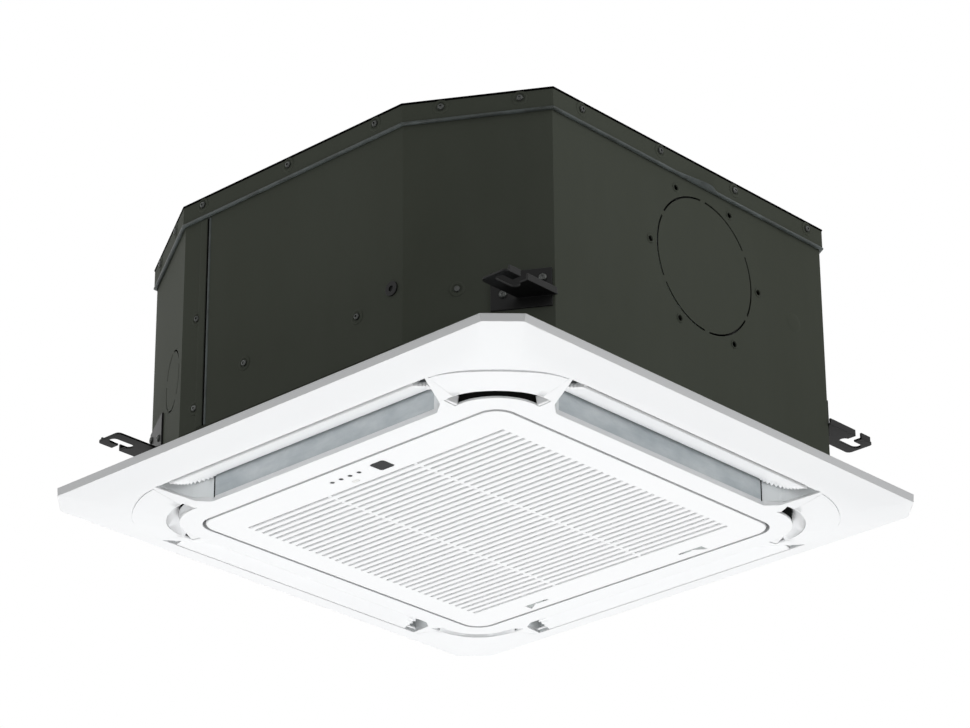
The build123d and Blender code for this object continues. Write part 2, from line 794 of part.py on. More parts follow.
lid_screw_z = casing_top - lid_screw_drop
front = side_plane(turn=-90)
seam_places = [(-seam_x - seam_screw_inset, z) for z in seam_screw_z]
lid_places = {
    "front": [(x, lid_screw_z) for x in front_lid_screws],
    "side": [(y, lid_screw_z) for y in side_lid_screws],
    "corner": [(x, lid_screw_z) for x in chamfer_lid_screws],
}

with BuildPart() as sheet_blank:
    sheet_z = casing_sheet_top - casing_bottom
    polygon(casing_outline(0), casing_bottom, sheet_z)
    polygon(casing_outline(-sheet), casing_bottom - 1, sheet_z + 2, Mode.SUBTRACT)
    polygon(casing_outline(0), casing_bottom, sheet)
    polygon(casing_outline(-bottom_flange), casing_bottom - 1, sheet + 2, Mode.SUBTRACT)
    far = casing_half + 1
    block((-far, -seam_x + seam_gap / 2), (-far, 0), (casing_bottom - 1, casing_top), Mode.SUBTRACT)
    block((-far, seam_x + seam_gap / 2), (0, far), (casing_bottom - 1, casing_top), Mode.SUBTRACT)
    block(
        (-seam_x - lap, -seam_x + lap / 3), (-casing_half + sheet, -casing_half + 2 * sheet),
        (casing_bottom + sheet, casing_sheet_top),
    )
    screws(front, seam_places, Mode.SUBTRACT)
    screws(side_plane(turn=90), seam_places, Mode.SUBTRACT)
    screws(side_plane(), lid_places["side"], Mode.SUBTRACT)
    screws(front, lid_places["front"], Mode.SUBTRACT)
    screws(side_plane(turn=90), lid_places["front"], Mode.SUBTRACT)
    for sy in (-1, 1):
        screws(corner_plane(1, sy), [(-sy * x, z) for x, z in hanger_screws], Mode.SUBTRACT)

port_plane = side_plane()
port_y, port_z = port_at
with BuildPart() as casing_front:
    add(sheet_blank.part)
    with BuildSketch(port_plane.offset(1)):
        with Locations((port_y, port_z)):
            Circle(port_radius + port_slit / 2)
            Circle(port_radius - port_slit / 2, mode=Mode.SUBTRACT)
            with PolarLocations(port_radius, port_tabs, start_angle=90 - 360 / port_tabs):
                Rectangle(2 * port_slit, port_tab, mode=Mode.SUBTRACT)
    extrude(amount=-2 - sheet, mode=Mode.SUBTRACT)
    with BuildSketch(port_plane.offset(1)):
        with Locations((port_y, port_z)):
            with PolarLocations(port_screw_circle, port_tabs):
                Circle(port_screw_hole)
    extrude(amount=-2 - sheet, mode=Mode.SUBTRACT)
    screws(front, front_screws, Mode.SUBTRACT)
    round_bar(front.offset(1), plug_at, plug_radius, -2 - sheet, Mode.SUBTRACT)
    screws(corner_plane(1, -1), lid_places["corner"], Mode.SUBTRACT)
save(casing_front, "casing_front")

pipe_plane = corner_plane(-1, 1)


def along_pipe_corner(point):
    """Distance of a plan point along the pipe corner's chamfer, from its middle."""
    local = pipe_plane.to_local_coords(Vector(point[0], point[1], 0))
    return local.X


def depth_behind_pipe_corner(point):
    """Distance of a plan point behind the pipe corner's chamfer."""
    local = pipe_plane.to_local_coords(Vector(point[0], point[1], 0))
    return -local.Z


gas_s = along_pipe_corner(header_at)
liquid_s = along_pipe_corner(liquid_header_at)
drain_s = along_pipe_corner(pump_at)
gas_place, liquid_place, drain_place = (gas_s, gas_pipe_z), (liquid_s, liquid_pipe_z), (drain_s, drain_z)
pipes = ((gas_place, gas_pipe_radius), (liquid_place, liquid_pipe_radius), (drain_place, drain_radius))
pipe_window_at = ((drain_s + liquid_s) / 2, (drain_z + liquid_pipe_z) / 2)
pipe_window = (liquid_s - drain_s + pipe_window_margin, drain_z - liquid_pipe_z + pipe_window_margin)
cover_x, cover_z = (pipe_window[0] + pipe_cover_lap) / 2, (pipe_window[1] + pipe_cover_lap) / 2
pipe_cover_screws = [
    (
        pipe_window_at[0] + i * (cover_x - pipe_cover_lap / 4),
        pipe_window_at[1] + j * (cover_z - pipe_cover_lap / 4),
    )
    for i in (-1, 1) for j in (-1, 1)
]
with BuildPart() as casing_rear:
    add(sheet_blank.part, rotation=(0, 0, 180))
    cable_plane = corner_plane(-1, -1).offset(1)
    cable_x = cable_port_shift
    with BuildSketch(cable_plane):
        with Locations((cable_x, cable_port_z)):
            Circle(cable_port_radius + port_slit / 2)
            Circle(cable_port_radius - port_slit / 2, mode=Mode.SUBTRACT)
            with PolarLocations(cable_port_radius, port_tabs - 1, start_angle=90):
                Rectangle(2 * port_slit, port_tab, mode=Mode.SUBTRACT)
    extrude(amount=-2 - sheet, mode=Mode.SUBTRACT)
    screws(corner_plane(-1, -1), [(-x, z) for x, z in lid_places["corner"]], Mode.SUBTRACT)
    with BuildSketch(pipe_plane.offset(1)):
        with Locations(pipe_window_at):
            Rectangle(*pipe_window)
    extrude(amount=-2 - sheet, mode=Mode.SUBTRACT)
    screws(pipe_plane.offset(sheet), pipe_cover_screws, Mode.SUBTRACT)
save(casing_rear, "casing_rear")

with BuildPart() as top_cover:
    polygon(casing_outline(lid_overhang), sheet_top, sheet)
    polygon(casing_outline(lid_overhang), casing_top - lid_flange, lid_flange - sheet)
    polygon(
        casing_outline(lid_overhang - sheet), casing_top - lid_flange - 1,
        lid_flange - sheet + 1, Mode.SUBTRACT,
    )
    with BuildSketch(Plane.XY.offset(casing_top - lid_flange)):
        Polygon(*casing_outline(lid_overhang - sheet / 2), align=None)
        Polygon(*casing_outline(lid_gap), align=None, mode=Mode.SUBTRACT)
    extrude(amount=lid_hem)
    screws(side_plane(lid_overhang), lid_places["side"], Mode.SUBTRACT)
    screws(side_plane(lid_overhang, 180), lid_places["side"], Mode.SUBTRACT)
    screws(side_plane(lid_overhang, -90), lid_places["front"], Mode.SUBTRACT)
    screws(side_plane(lid_overhang, 90), lid_places["front"], Mode.SUBTRACT)
    screws(corner_plane(1, -1, lid_overhang), lid_places["corner"], Mode.SUBTRACT)
    screws(corner_plane(-1, -1, lid_overhang), [(-x, z) for x, z in lid_places["corner"]], Mode.SUBTRACT)
save(top_cover, "top_cover")

with BuildPart() as casing_screws:
    screws(front, seam_places)
    screws(side_plane(turn=90), seam_places)
    screws(front, front_screws)
    screws(side_plane(lid_overhang), lid_places["side"])
    screws(side_plane(lid_overhang, 180), lid_places["side"])
    screws(side_plane(lid_overhang, -90), lid_places["front"])
    screws(side_plane(lid_overhang, 90), lid_places["front"])
    screws(corner_plane(1, -1, lid_overhang), lid_places["corner"])
    screws(corner_plane(-1, -1, lid_overhang), [(-x, z) for x, z in lid_places["corner"]])
    screws(pipe_plane.offset(sheet), pipe_cover_screws)
save(casing_screws, "casing_screws")

with BuildPart() as hole_plug:
    round_bar(front, plug_at, plug_radius + plug_lip, plug_lip)
    round_bar(front, plug_at, plug_radius - small_gap, -sheet - plug_lip)
    round_bar(front.offset(plug_lip), plug_at, plug_bore, -plug_lip, Mode.SUBTRACT)
save(hole_plug, "hole_plug")

# ---------------------------------------------------------------- hanger brackets
hanger_x, hanger_y = hanger_pitch_x / 2, hanger_pitch_y / 2
for corner, (sx, sy) in CORNERS.items():
    with BuildPart() as bracket:
        wall = corner_plane(sx, sy)
        outward = -sx * sy
        with BuildSketch(wall):
            tab_middle = (hanger_tab_low + hanger_tab_high) / 2
            with Locations((outward * (hanger_tab_from + hanger_tab_to) / 2, tab_middle)):
                Rectangle(hanger_tab_to - hanger_tab_from, hanger_tab_high - hanger_tab_low)
        extrude(amount=hanger_plate)
        plate = [
            (hanger_inner_x, chamfer_height(hanger_inner_x, hanger_plate / 2)),
            (hanger_inner_x, hanger_outer_y), (hanger_outer_x, hanger_outer_y),
            (hanger_outer_x, chamfer_height(hanger_outer_x, hanger_plate / 2)),
        ]
        with BuildSketch(Plane.XY.offset(hanger_z)) as shape:
            Polygon(*[(sx * x, sy * y) for x, y in plate], align=None)
            ends = shape.vertices().filter_by(lambda v: abs(abs(v.Y) - hanger_outer_y) < 0.01)
            fillet(ends, hanger_lip)
            with Locations((sx * hanger_x, sy * hanger_y)):
                SlotOverall(hanger_slot_length, hanger_slot_width, rotation=90, mode=Mode.SUBTRACT)
            mouth_y = sy * (hanger_y + hanger_mouth_shift)
            with Locations((sx * (hanger_x + hanger_outer_x) / 2, mouth_y)):
                Rectangle(hanger_outer_x - hanger_x, hanger_mouth, mode=Mode.SUBTRACT)
            with Locations((sx * hanger_outer_x, mouth_y)):
                Rectangle(2 * hanger_plate, hanger_mouth, mode=Mode.SUBTRACT)
        extrude(amount=hanger_plate)
        lip_from = chamfer_height(hanger_outer_x, hanger_plate)
        for y0, y1 in (
            (lip_from, abs(mouth_y) - hanger_mouth / 2),
            (abs(mouth_y) + hanger_mouth / 2, hanger_outer_y - hanger_lip),
        ):
            block(
                (sx * (hanger_outer_x - hanger_plate), sx * hanger_outer_x), (sy * y0, sy * y1),
                (hanger_z, hanger_z + hanger_plate + hanger_lip),
            )
        for x, z in hanger_screws:
            hole = screw_shank + screw_hole_gap
            round_bar(wall.offset(hanger_plate + 1), (outward * x, z), hole, -6, Mode.SUBTRACT)
    save(bracket, f"hanger_bracket_{corner}")

with BuildPart() as bracket_screws:
    for sx, sy in CORNERS.values():
        places = [(-sx * sy * x, z) for x, z in hanger_screws]
        screws(corner_plane(sx, sy, hanger_plate), places, head=hanger_screw_head)
save(bracket_screws, "bracket_screws")

with BuildPart() as pipe_cover:
    with BuildSketch(pipe_plane):
        with Locations(pipe_window_at):
            Rectangle(2 * cover_x, 2 * cover_z)
        for place, radius in pipes:
            with Locations(place):
                Circle(radius + pipe_gap, mode=Mode.SUBTRACT)
    extrude(amount=sheet)
    screws(pipe_plane.offset(sheet), pipe_cover_screws, Mode.SUBTRACT)
save(pipe_cover, "pipe_cover")

# ---------------------------------------------------------------- panel lugs
with BuildPart() as panel_lugs:
    for sx, sy in CORNERS.values():
        wall = corner_plane(sx, sy)
        with BuildSketch(wall):
            with Locations((-sx * sy * lug_at, casing_bottom + lug_sheet + lug_height / 2)):
                Rectangle(lug_width, lug_height)
        extrude(amount=lug_sheet)
        with BuildSketch(wall):
            with Locations((-sx * sy * lug_at, casing_bottom + lug_sheet / 2)):
                Rectangle(lug_width, lug_sheet)
        extrude(amount=lug_reach)
        place = (sx * panel_screw_at[0], sy * panel_screw_at[1])
        disc(
            place, panel_screw + pin_clearance,
            (casing_bottom - 1, casing_bottom + lug_sheet + 1), Mode.SUBTRACT,
        )
save(panel_lugs, "panel_lugs")

# ---------------------------------------------------------------- insulation
liner_low, liner_high = pan_top + 1, sheet_top - top_liner
with BuildPart() as wall_insulation:
    polygon(casing_outline(-liner_gap), liner_low, liner_high - liner_low)
    polygon(
        casing_outline(-liner_gap - liner_thickness), liner_low - 1,
        liner_high - liner_low + 2, Mode.SUBTRACT,
    )
    round_bar(side_plane(), port_at, port_radius, -4 * liner_thickness, Mode.SUBTRACT)
    for place, radius in pipes:
        round_bar(pipe_plane, place, radius + pipe_gap, -4 * liner_thickness, Mode.SUBTRACT)
save(wall_insulation, "wall_insulation")

with BuildPart() as top_insulation:
    polygon(casing_outline(-liner_gap), liner_high, top_liner)
    disc((0, 0), mount_radius + 2, (liner_high - 1, sheet_top + 1), Mode.SUBTRACT)
save(top_insulation, "top_insulation")

# ---------------------------------------------------------------- motor and fan
mount_low = liner_high - mount_plate
foot_places = [
    (motor_foot_circle * cos(radians(angle)), motor_foot_circle * sin(radians(angle)))
    for angle in (30, 150, 270)
]
with BuildPart() as motor_mount:
    disc((0, 0), mount_radius, (mount_low, liner_high))
    for place in foot_places:
        disc(place, mount_post, (liner_high, sheet_top))
save(motor_mount, "motor_mount")

with BuildPart() as motor_bushings:
    for place in foot_places:
        disc(place, bushing_radius, (motor_high, mount_low))
save(motor_bushings, "motor_bushings")

with BuildPart() as fan_motor:
    disc((0, 0), motor_radius, (motor_low, motor_high - motor_rim))
    disc((0, 0), motor_radius + motor_rim, (motor_high - motor_rim - motor_foot, motor_high - motor_rim))
    disc((0, 0), motor_radius - motor_rim, (motor_high - motor_rim, motor_high))
    for place in foot_places:
        disc(place, bushing_radius + motor_foot, (motor_high - motor_rim - motor_foot, motor_high))
    disc((0, 0), shaft_radius + pin_clearance, (motor_low - 1, motor_high - 2 * motor_rim), Mode.SUBTRACT)
save(fan_motor, "fan_motor")

with BuildPart() as motor_shaft:
    disc((0, 0), shaft_radius, (shaft_low, motor_high - 2 * motor_rim - 1))
    chamfer(motor_shaft.edges().filter_by(GeomType.CIRCLE).group_by(Axis.Z)[0], 1)
save(motor_shaft, "motor_shaft")

shroud_top = fan_low + shroud_rise
plate_low = fan_high - fan_plate
blade_steps = 8
blade_line = []
for step in range(blade_steps + 1):
    share = step / blade_steps
    reach = blade_inner + (fan_radius - fan_plate - blade_inner) * share
    angle = -radians(blade_sweep) * share**0.7
    blade_line.append((reach * cos(angle), reach * sin(angle)))
with BuildPart() as turbo_fan:
    with BuildSketch(Plane.XY.offset(fan_low)):
        with BuildLine() as camber:
            Spline(*blade_line)
        trace(line_width=blade_thickness)
    extrude(amount=plate_low - fan_low)
    single_blade = turbo_fan.part
    for index in range(1, blade_count):
        add(single_blade, rotation=(0, 0, 360 * index / blade_count))
    with BuildSketch(Plane.XZ):
        Polygon(
            (blade_inner - 5, plate_low), (blade_inner - 5, shroud_top + 10),
            (fan_inlet - fan_plate, fan_low + 4 * fan_plate),
            (fan_inlet, fan_low + 1), (fan_radius, shroud_top + 1), (fan_radius, plate_low), align=None,
        )
    revolve(axis=Axis.Z, mode=Mode.INTERSECT)
    with BuildSketch(Plane.XZ):
        Polygon(
            (fan_inlet, fan_low), (fan_radius, shroud_top), (fan_radius, shroud_top + fan_plate),
            (fan_inlet, fan_low + fan_plate), align=None,
        )
    revolve(axis=Axis.Z)
    disc((0, 0), fan_radius, (plate_low, fan_high))
    disc((0, 0), hub_radius, (hub_low, fan_high))
    disc((0, 0), shaft_radius + pin_clearance, (hub_low - 1, fan_high + 1), Mode.SUBTRACT)
save(turbo_fan, "turbo_fan")

with BuildPart() as fan_nut:
    with BuildSketch(Plane.XY.offset(hub_low - nut_height)):
        RegularPolygon(nut_flats / 2, 6, major_radius=False)
        Circle(shaft_radius + pin_clearance, mode=Mode.SUBTRACT)
    extrude(amount=nut_height)
save(fan_nut, "fan_nut")

# ---------------------------------------------------------------- coil
coil_span = (coil_low, coil_high)
with BuildPart() as coil_fins:
    square(coil_outer, coil_span, corner=coil_corner)
    square(coil_inner, (coil_low - 1, coil_high + 1), Mode.SUBTRACT, coil_corner - coil_depth)
    block(
        (-coil_outer - 1, -coil_gap_from), (coil_gap_from, coil_outer + 1), (coil_low - 1, coil_high + 1),
        Mode.SUBTRACT,
    )
save(coil_fins, "coil_fins")

with BuildPart() as coil_end_plates:
    plate_y = (coil_inner - 2, coil_outer + 2)
    block((-coil_gap_from - end_plate, -coil_gap_from), plate_y, coil_span)
    block((-plate_y[1], -plate_y[0]), (coil_gap_from, coil_gap_from + end_plate), coil_span)
save(coil_end_plates, "coil_end_plates")

bend_x = -coil_gap_from - end_plate
bend_radius = bend_pitch / 2
with BuildPart() as coil_return_bends:
    for column in range(2):
        for row in range(bend_count // 2):
            y = coil_outer - coil_depth * (0.25 + 0.5 * column)
            z = coil_low + (coil_high - coil_low) * (row + 0.5) / (bend_count // 2)
            with BuildSketch(Plane.YZ.offset(bend_x)):
                with Locations((y, z + bend_radius)):
                    Circle(bend_tube)
            revolve(axis=Axis((bend_x, y, z), (0, -1, 0)), revolution_arc=180)
save(coil_return_bends, "coil_return_bends")

for name, at, radius, pipe_z, pipe_radius in (
    ("gas_line", header_at, header_radius, gas_pipe_z, gas_pipe_radius),
    ("liquid_line", liquid_header_at, liquid_header_radius, liquid_pipe_z, liquid_pipe_radius),
):
    place = (along_pipe_corner(at), pipe_z)
    with BuildPart() as line:
        middle = (coil_low + coil_high) / 2
        reach = stub_pitch * (stub_count - 1) / 2 + 2 * stub_radius + header_radius
        disc(at, radius, (middle - reach, middle + reach))
        stub_plane = Plane.XZ.offset(-coil_gap_from - end_plate)
        for row in range(stub_count):
            stub_z = middle + stub_pitch * (row - (stub_count - 1) / 2)
            round_bar(stub_plane, (at[0], stub_z), stub_radius, coil_gap_from + end_plate - at[1])
        pipe_end = pipe_proud - union_thread - pipe_wall
        round_bar(pipe_plane.offset(pipe_end), place, pipe_radius, -depth_behind_pipe_corner(at) - pipe_end)
        round_bar(pipe_plane.offset(pipe_end), place, pipe_radius - pipe_wall, -pipe_end, Mode.SUBTRACT)
    save(line, name)

for name, place, pipe_radius, flats, thread in (
    ("gas_union", gas_place, gas_pipe_radius, gas_union_flats, gas_thread_radius),
    ("liquid_union", liquid_place, liquid_pipe_radius, liquid_union_flats, liquid_thread_radius),
):
    with BuildPart() as union:
        with BuildSketch(pipe_plane.offset(pipe_proud - union_thread - union_hex)):
            with Locations(place):
                RegularPolygon(flats / 2, 6, major_radius=False)
        extrude(amount=union_hex)
        end_plane = pipe_plane.offset(pipe_proud)
        round_bar(end_plane, place, thread, -union_thread)
        round_bar(end_plane, place, pipe_radius - pipe_wall, -union_thread - 2, Mode.SUBTRACT)
        round_bar(
            end_plane.offset(-union_thread - pipe_wall / 2), place, pipe_radius + pin_clearance, -union_hex,
            Mode.SUBTRACT,
        )
    save(union, name)

# ---------------------------------------------------------------- drain pan and bell mouth
pan_low = casing_bottom + sheet
with BuildPart() as drain_pan:
    polygon(casing_outline(-liner_gap), pan_low, pan_top - pan_low)
    disc((0, 0), pan_bore, (pan_low - 1, pan_top + 1), Mode.SUBTRACT)
    with BuildSketch(Plane.XY.offset(coil_low)):
        outer_half = coil_outer + trough_gap
        RectangleRounded(2 * outer_half, 2 * outer_half, coil_corner + trough_gap)
        inner_half = coil_inner - trough_gap
        RectangleRounded(
            2 * inner_half, 2 * inner_half, coil_corner - coil_depth - trough_gap, mode=Mode.SUBTRACT,
        )
    extrude(amount=pan_top, mode=Mode.SUBTRACT)
    for turn in SIDES.values():
        with BuildSketch(Plane.XY.offset(pan_low - 1)) as outlet:
            with Locations(Rotation(0, 0, turn) * Pos((pan_outlet_inner + pan_outlet_outer) / 2, 0)):
                Rectangle(pan_outlet_outer - pan_outlet_inner, 2 * pan_outlet_reach)
            Polygon(*casing_outline(-liner_gap - pan_wall), align=None, mode=Mode.INTERSECT)
        extrude(amount=pan_top - pan_low + 2, mode=Mode.SUBTRACT)
    block((-sump_to, -sump_from), (sump_from, sump_to), (sump_floor, pan_top + 1), Mode.SUBTRACT)
    disc(drain_plug_at, drain_plug_radius + small_gap, (pan_low - 1, pan_top), Mode.SUBTRACT)
save(drain_pan, "drain_pan")

with BuildPart() as drain_plug:
    disc(drain_plug_at, drain_plug_radius, (pan_low, sump_floor))
    disc(drain_plug_at, drain_plug_radius / 2, (pan_low - 1, sump_floor - 4), Mode.SUBTRACT)
save(drain_plug, "drain_plug")

with BuildPart() as bell_mouth:
    disc((0, 0), bell_flange, (pan_low - bell_sheet, pan_low))
    with BuildSketch(Plane.XZ) as profile:
        with BuildLine():
            outer_curve = Spline(
                (bell_mouth_radius, pan_low), (bell_throat + bell_sheet, bell_top),
                tangents=((-1, 0), (0, 1)),
            )
            Line(outer_curve @ 1, (bell_throat, bell_top))
            inner_curve = Spline(
                (bell_throat, bell_top), (bell_mouth_radius, pan_low - bell_sheet),
                tangents=((0, -1), (1, 0)),
            )
            Line(inner_curve @ 1, outer_curve @ 0)
        make_face()
    disc((0, 0), bell_mouth_radius, (pan_low - bell_sheet - 1, pan_low + 1), Mode.SUBTRACT)
    revolve(profile.sketch, axis=Axis.Z)
save(bell_mouth, "bell_mouth")

# ---------------------------------------------------------------- drain pump and float switch
pump_flange = (pan_top, pump_low)
pump_x, pump_y = pump_at
with BuildPart() as drain_pump:
    disc(pump_at, pump_radius, (pump_low, pump_high))
    block(
        (-sump_to - pump_foot, pump_x + pump_radius),
        (pump_y - pump_radius, pump_y + pump_radius - pump_foot), pump_flange,
    )
    disc(pump_at, impeller_radius + 2 * bell_sheet, (impeller_low - 2, pump_low))
    disc(pump_at, impeller_radius + bell_sheet, (impeller_low - 3, pan_top - 2), Mode.SUBTRACT)
    disc(pump_at, impeller_shaft + pin_clearance, (pan_top - 3, pump_low + impeller_grip), Mode.SUBTRACT)
save(drain_pump, "drain_pump")

with BuildPart() as pump_impeller:
    disc(pump_at, impeller_shaft, (impeller_low, pump_low + impeller_grip - 1))
    disc(pump_at, 2 * impeller_shaft, (impeller_low, impeller_low + impeller_height))
    for turn in (0, 60, 120):
        with BuildSketch(Plane.XY.offset(impeller_low)):
            with Locations(pump_at):
                Rectangle(2 * impeller_radius, bell_sheet, rotation=turn)
        extrude(amount=impeller_height)
save(pump_impeller, "pump_impeller")

with BuildPart() as drain_pipe:
    disc(pump_at, riser_radius, (pump_high, drain_z))
    length = depth_behind_pipe_corner(pump_at) + drain_proud
    end_plane = pipe_plane.offset(drain_proud)
    round_bar(end_plane, drain_place, drain_radius, -drain_spigot)
    round_bar(end_plane, drain_place, drain_radius - drain_step, -length - drain_radius)
    round_bar(end_plane, drain_place, drain_bore, -length - drain_bore, Mode.SUBTRACT)
    disc(pump_at, riser_bore, (pump_high - 1, drain_z), Mode.SUBTRACT)
save(drain_pipe, "drain_pipe")

float_low = sump_floor + 2
with BuildPart() as float_guide:
    disc(float_at, 2.5 * float_rod, (sump_floor, float_low - small_gap))
    disc(float_at, float_rod, (sump_floor, float_low + float_height + float_travel + 4))
    cap = float_low + float_height + float_travel + small_gap
    disc(float_at, 2.5 * float_rod, (cap, cap + 3))
save(float_guide, "float_guide")

with BuildPart() as drain_float:
    disc(float_at, float_radius, (float_low, float_low + float_height))
    disc(
        float_at, float_rod + 2 * pin_clearance,
        (float_low - 1, float_low + float_height + 1), Mode.SUBTRACT,
    )
save(drain_float, "drain_float")

# ---------------------------------------------------------------- control box
box_high = pan_low - bell_sheet
box_sill = box_low + box_wall
inside_x = (-box_half + box_wall, box_half - box_wall)
inside_y = (box_y[0] + box_wall, box_y[1] - box_wall)
with BuildPart() as control_box:
    block((-box_half, box_half), box_y, (box_sill, box_high))
    block(inside_x, inside_y, (box_sill - 1, box_high - box_wall), Mode.SUBTRACT)
    for x in board_x:
        for y in inside_y:
            post_y = y - board_post * (1 if y > inside_y[0] else -1)
            post_x = x - board_post * (1 if x > 0 else -1)
            disc((post_x, post_y), board_post / 2, (board_z, box_high - box_wall / 2))
save(control_box, "control_box")

with BuildPart() as control_box_cover:
    block((-box_half, box_half), box_y, (box_low, box_sill))
save(control_box_cover, "control_box_cover")

with BuildPart() as control_board:
    block(board_x, (inside_y[0] + 1, inside_y[1] - 1), (board_z - 1.6, board_z))
    for x, y, wide, deep, tall in (
        (-92, 178, 26, 22, 9), (-58, 172, 14, 12, 11), (-58, 190, 10, 8, 7),
        (-28, 181, 22, 16, 8), (8, 176, 12, 12, 10),
        (34, 184, 18, 10, 6),
    ):
        block(
            (x - wide / 2, x + wide / 2), (y - deep / 2, y + deep / 2),
            (board_z - 1.6 - tall, board_z - 1.6),
        )
save(control_board, "control_board")

with BuildPart() as terminal_block:
    block((board_x[1] + 12, board_x[1] + 58), (170, 190), (board_z, box_high - box_wall))
    for index in range(5):
        x = board_x[1] + 17 + 9 * index
        block((x - 3, x + 3), (174, 186), (board_z - 1, board_z + 5), Mode.SUBTRACT)
save(terminal_block, "terminal_block")
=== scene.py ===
# %% [markdown]
# # A ceiling cassette air conditioner, dressed in Blender
# The object hangs from a ceiling: a dark sheet-metal casing full of fan, coil and drain parts,
# closed below by a square white panel with four air flaps and a hinged intake grille.
# Its shapes come as a finished CAD frame. This file adds the camera, the light, the finishes
# and the small forms that a press or a mould leaves behind.

import json

import bmesh
import bpy
import numpy as np
from mathutils import Matrix, Vector


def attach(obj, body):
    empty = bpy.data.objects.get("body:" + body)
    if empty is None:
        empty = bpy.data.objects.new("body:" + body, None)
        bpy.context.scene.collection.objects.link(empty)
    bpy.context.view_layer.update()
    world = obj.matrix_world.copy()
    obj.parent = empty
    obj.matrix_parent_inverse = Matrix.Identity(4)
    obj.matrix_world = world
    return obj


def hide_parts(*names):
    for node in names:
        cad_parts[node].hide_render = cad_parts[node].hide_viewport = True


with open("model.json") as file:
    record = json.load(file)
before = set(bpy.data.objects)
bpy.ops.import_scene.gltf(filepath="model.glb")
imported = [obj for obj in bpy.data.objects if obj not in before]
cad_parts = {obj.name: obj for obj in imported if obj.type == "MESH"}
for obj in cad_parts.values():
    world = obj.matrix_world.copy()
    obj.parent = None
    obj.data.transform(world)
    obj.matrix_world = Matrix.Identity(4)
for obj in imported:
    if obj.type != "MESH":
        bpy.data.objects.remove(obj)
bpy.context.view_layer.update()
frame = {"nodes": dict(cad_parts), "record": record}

# %% [markdown]
# ## Camera
# The photograph looks up at the panel's corner from well below the ceiling. A camera is a
# place, a direction and a focal length; all three were worked out from the corners of the
# panel and casing, so they are numbers here instead of a guess with a tracking constraint.

# %% Camera
CAMERA_AT = np.array([2.278116, -2.450581, -1.413917])
AZIMUTH, ELEVATION, ROLL = np.radians([42.923, -25.108, -0.393])
FOCAL_PIXELS, FRAME_PIXELS, SENSOR_MM = 3528.3, 970, 36.0


def camera_axes(azimuth, elevation, roll):
    """Right, up and backward unit vectors: backward from two angles, right = forward x Z,
    up = right x forward, then right and up turned by the roll in their own plane."""
    back = np.array([
        np.sin(azimuth) * np.cos(elevation), -np.cos(azimuth) * np.cos(elevation), np.sin(elevation)
    ])
    right = np.cross(-back, [0, 0, 1])
    right /= np.linalg.norm(right)
    up = np.cross(right, -back)
    turned = right * np.cos(roll) + up * np.sin(roll), up * np.cos(roll) - right * np.sin(roll)
    return (*turned, back)


camera = bpy.data.objects.new("camera", bpy.data.cameras.new("camera"))
bpy.context.collection.objects.link(camera)
placed = np.eye(4)
placed[:3, :3] = np.column_stack(camera_axes(AZIMUTH, ELEVATION, ROLL))
placed[:3, 3] = CAMERA_AT
camera.matrix_world = Matrix(placed.tolist())
camera.data.sensor_width = SENSOR_MM
camera.data.lens = FOCAL_PIXELS / FRAME_PIXELS * SENSOR_MM
camera.data.clip_start, camera.data.clip_end = 0.1, 100
bpy.context.scene.camera = camera
print("lens", round(camera.data.lens, 1), "mm")

# %% [markdown]
# ## Studio
# The object hangs high over a pale floor. Most of the light comes up from below, as in a
# room with a bright floor, so the panel is white and its rim and the casing are in shade.
# The background is white because the world shows white to camera, mirror and glass rays
# only; the light that reaches the object is a plain grey. The floor glows a little to the
# same rays, so that it looks pale from above and still keeps the object's shadow.

# %% Light and floor
WHITE = (1, 1, 1, 1)
FLOOR_Z, FLOOR_HALF = -5.2, 16.0
FLOOR_COLOUR, FLOOR_ROUGH = (0.86, 0.86, 0.85, 1), 0.8
WORLD_LIGHT, FLOOR_GLOW = 0.26, 0.55


def node_of(tree, kind, **values):
    """A shader node with its settings and socket values filled in."""
    made = tree.nodes.new(kind)
    for name, value in values.items():
        if hasattr(made, name):
            setattr(made, name, value)
        else:
            made.inputs[name.replace("_", " ")].default_value = value
    return made


def wire(tree, *pairs):
    """A link from each output socket to the input socket beside it."""
    for a, b in pairs:
        tree.links.new(a, b)


def seen_rays(tree):
    """A socket that is 1 for camera, mirror and glass rays and 0 for all others:
    max(max(camera, glossy), transmission)."""
    rays = node_of(tree, "ShaderNodeLightPath")
    seen = rays.outputs["Is Camera Ray"]
    for kind in ("Is Glossy Ray", "Is Transmission Ray"):
        larger = node_of(tree, "ShaderNodeMath", operation="MAXIMUM")
        wire(tree, (seen, larger.inputs[0]), (rays.outputs[kind], larger.inputs[1]))
        seen = larger.outputs[0]
    return seen


world = bpy.data.worlds.new("studio")
bpy.context.scene.world = world
world.use_nodes = True
sky = world.node_tree
sky.nodes.clear()
light = node_of(sky, "ShaderNodeBackground", Color=WHITE, Strength=WORLD_LIGHT)
backdrop = node_of(sky, "ShaderNodeBackground", Color=WHITE, Strength=1.0)
choose = node_of(sky, "ShaderNodeMixShader")
out = node_of(sky, "ShaderNodeOutputWorld")
wire(
    sky, (seen_rays(sky), choose.inputs[0]), (light.outputs[0], choose.inputs[1]),
    (backdrop.outputs[0], choose.inputs[2]), (choose.outputs[0], out.inputs[0]),
)
bpy.context.scene.view_settings.view_transform = "Standard"


def soft_lamp(name, at, towards, size, watts, mirrored=True):
    """A square area lamp facing a point, which no camera sees, nor any mirror if so wished."""
    lamp = bpy.data.objects.new(name, bpy.data.lights.new(name, "AREA"))
    lamp.visible_camera, lamp.visible_glossy = False, mirrored
    lamp.data.size, lamp.data.energy = size, watts
    lamp.location = at
    lamp.rotation_euler = (Vector(towards) - Vector(at)).to_track_quat("-Z", "Y").to_euler()
    bpy.context.collection.objects.link(lamp)


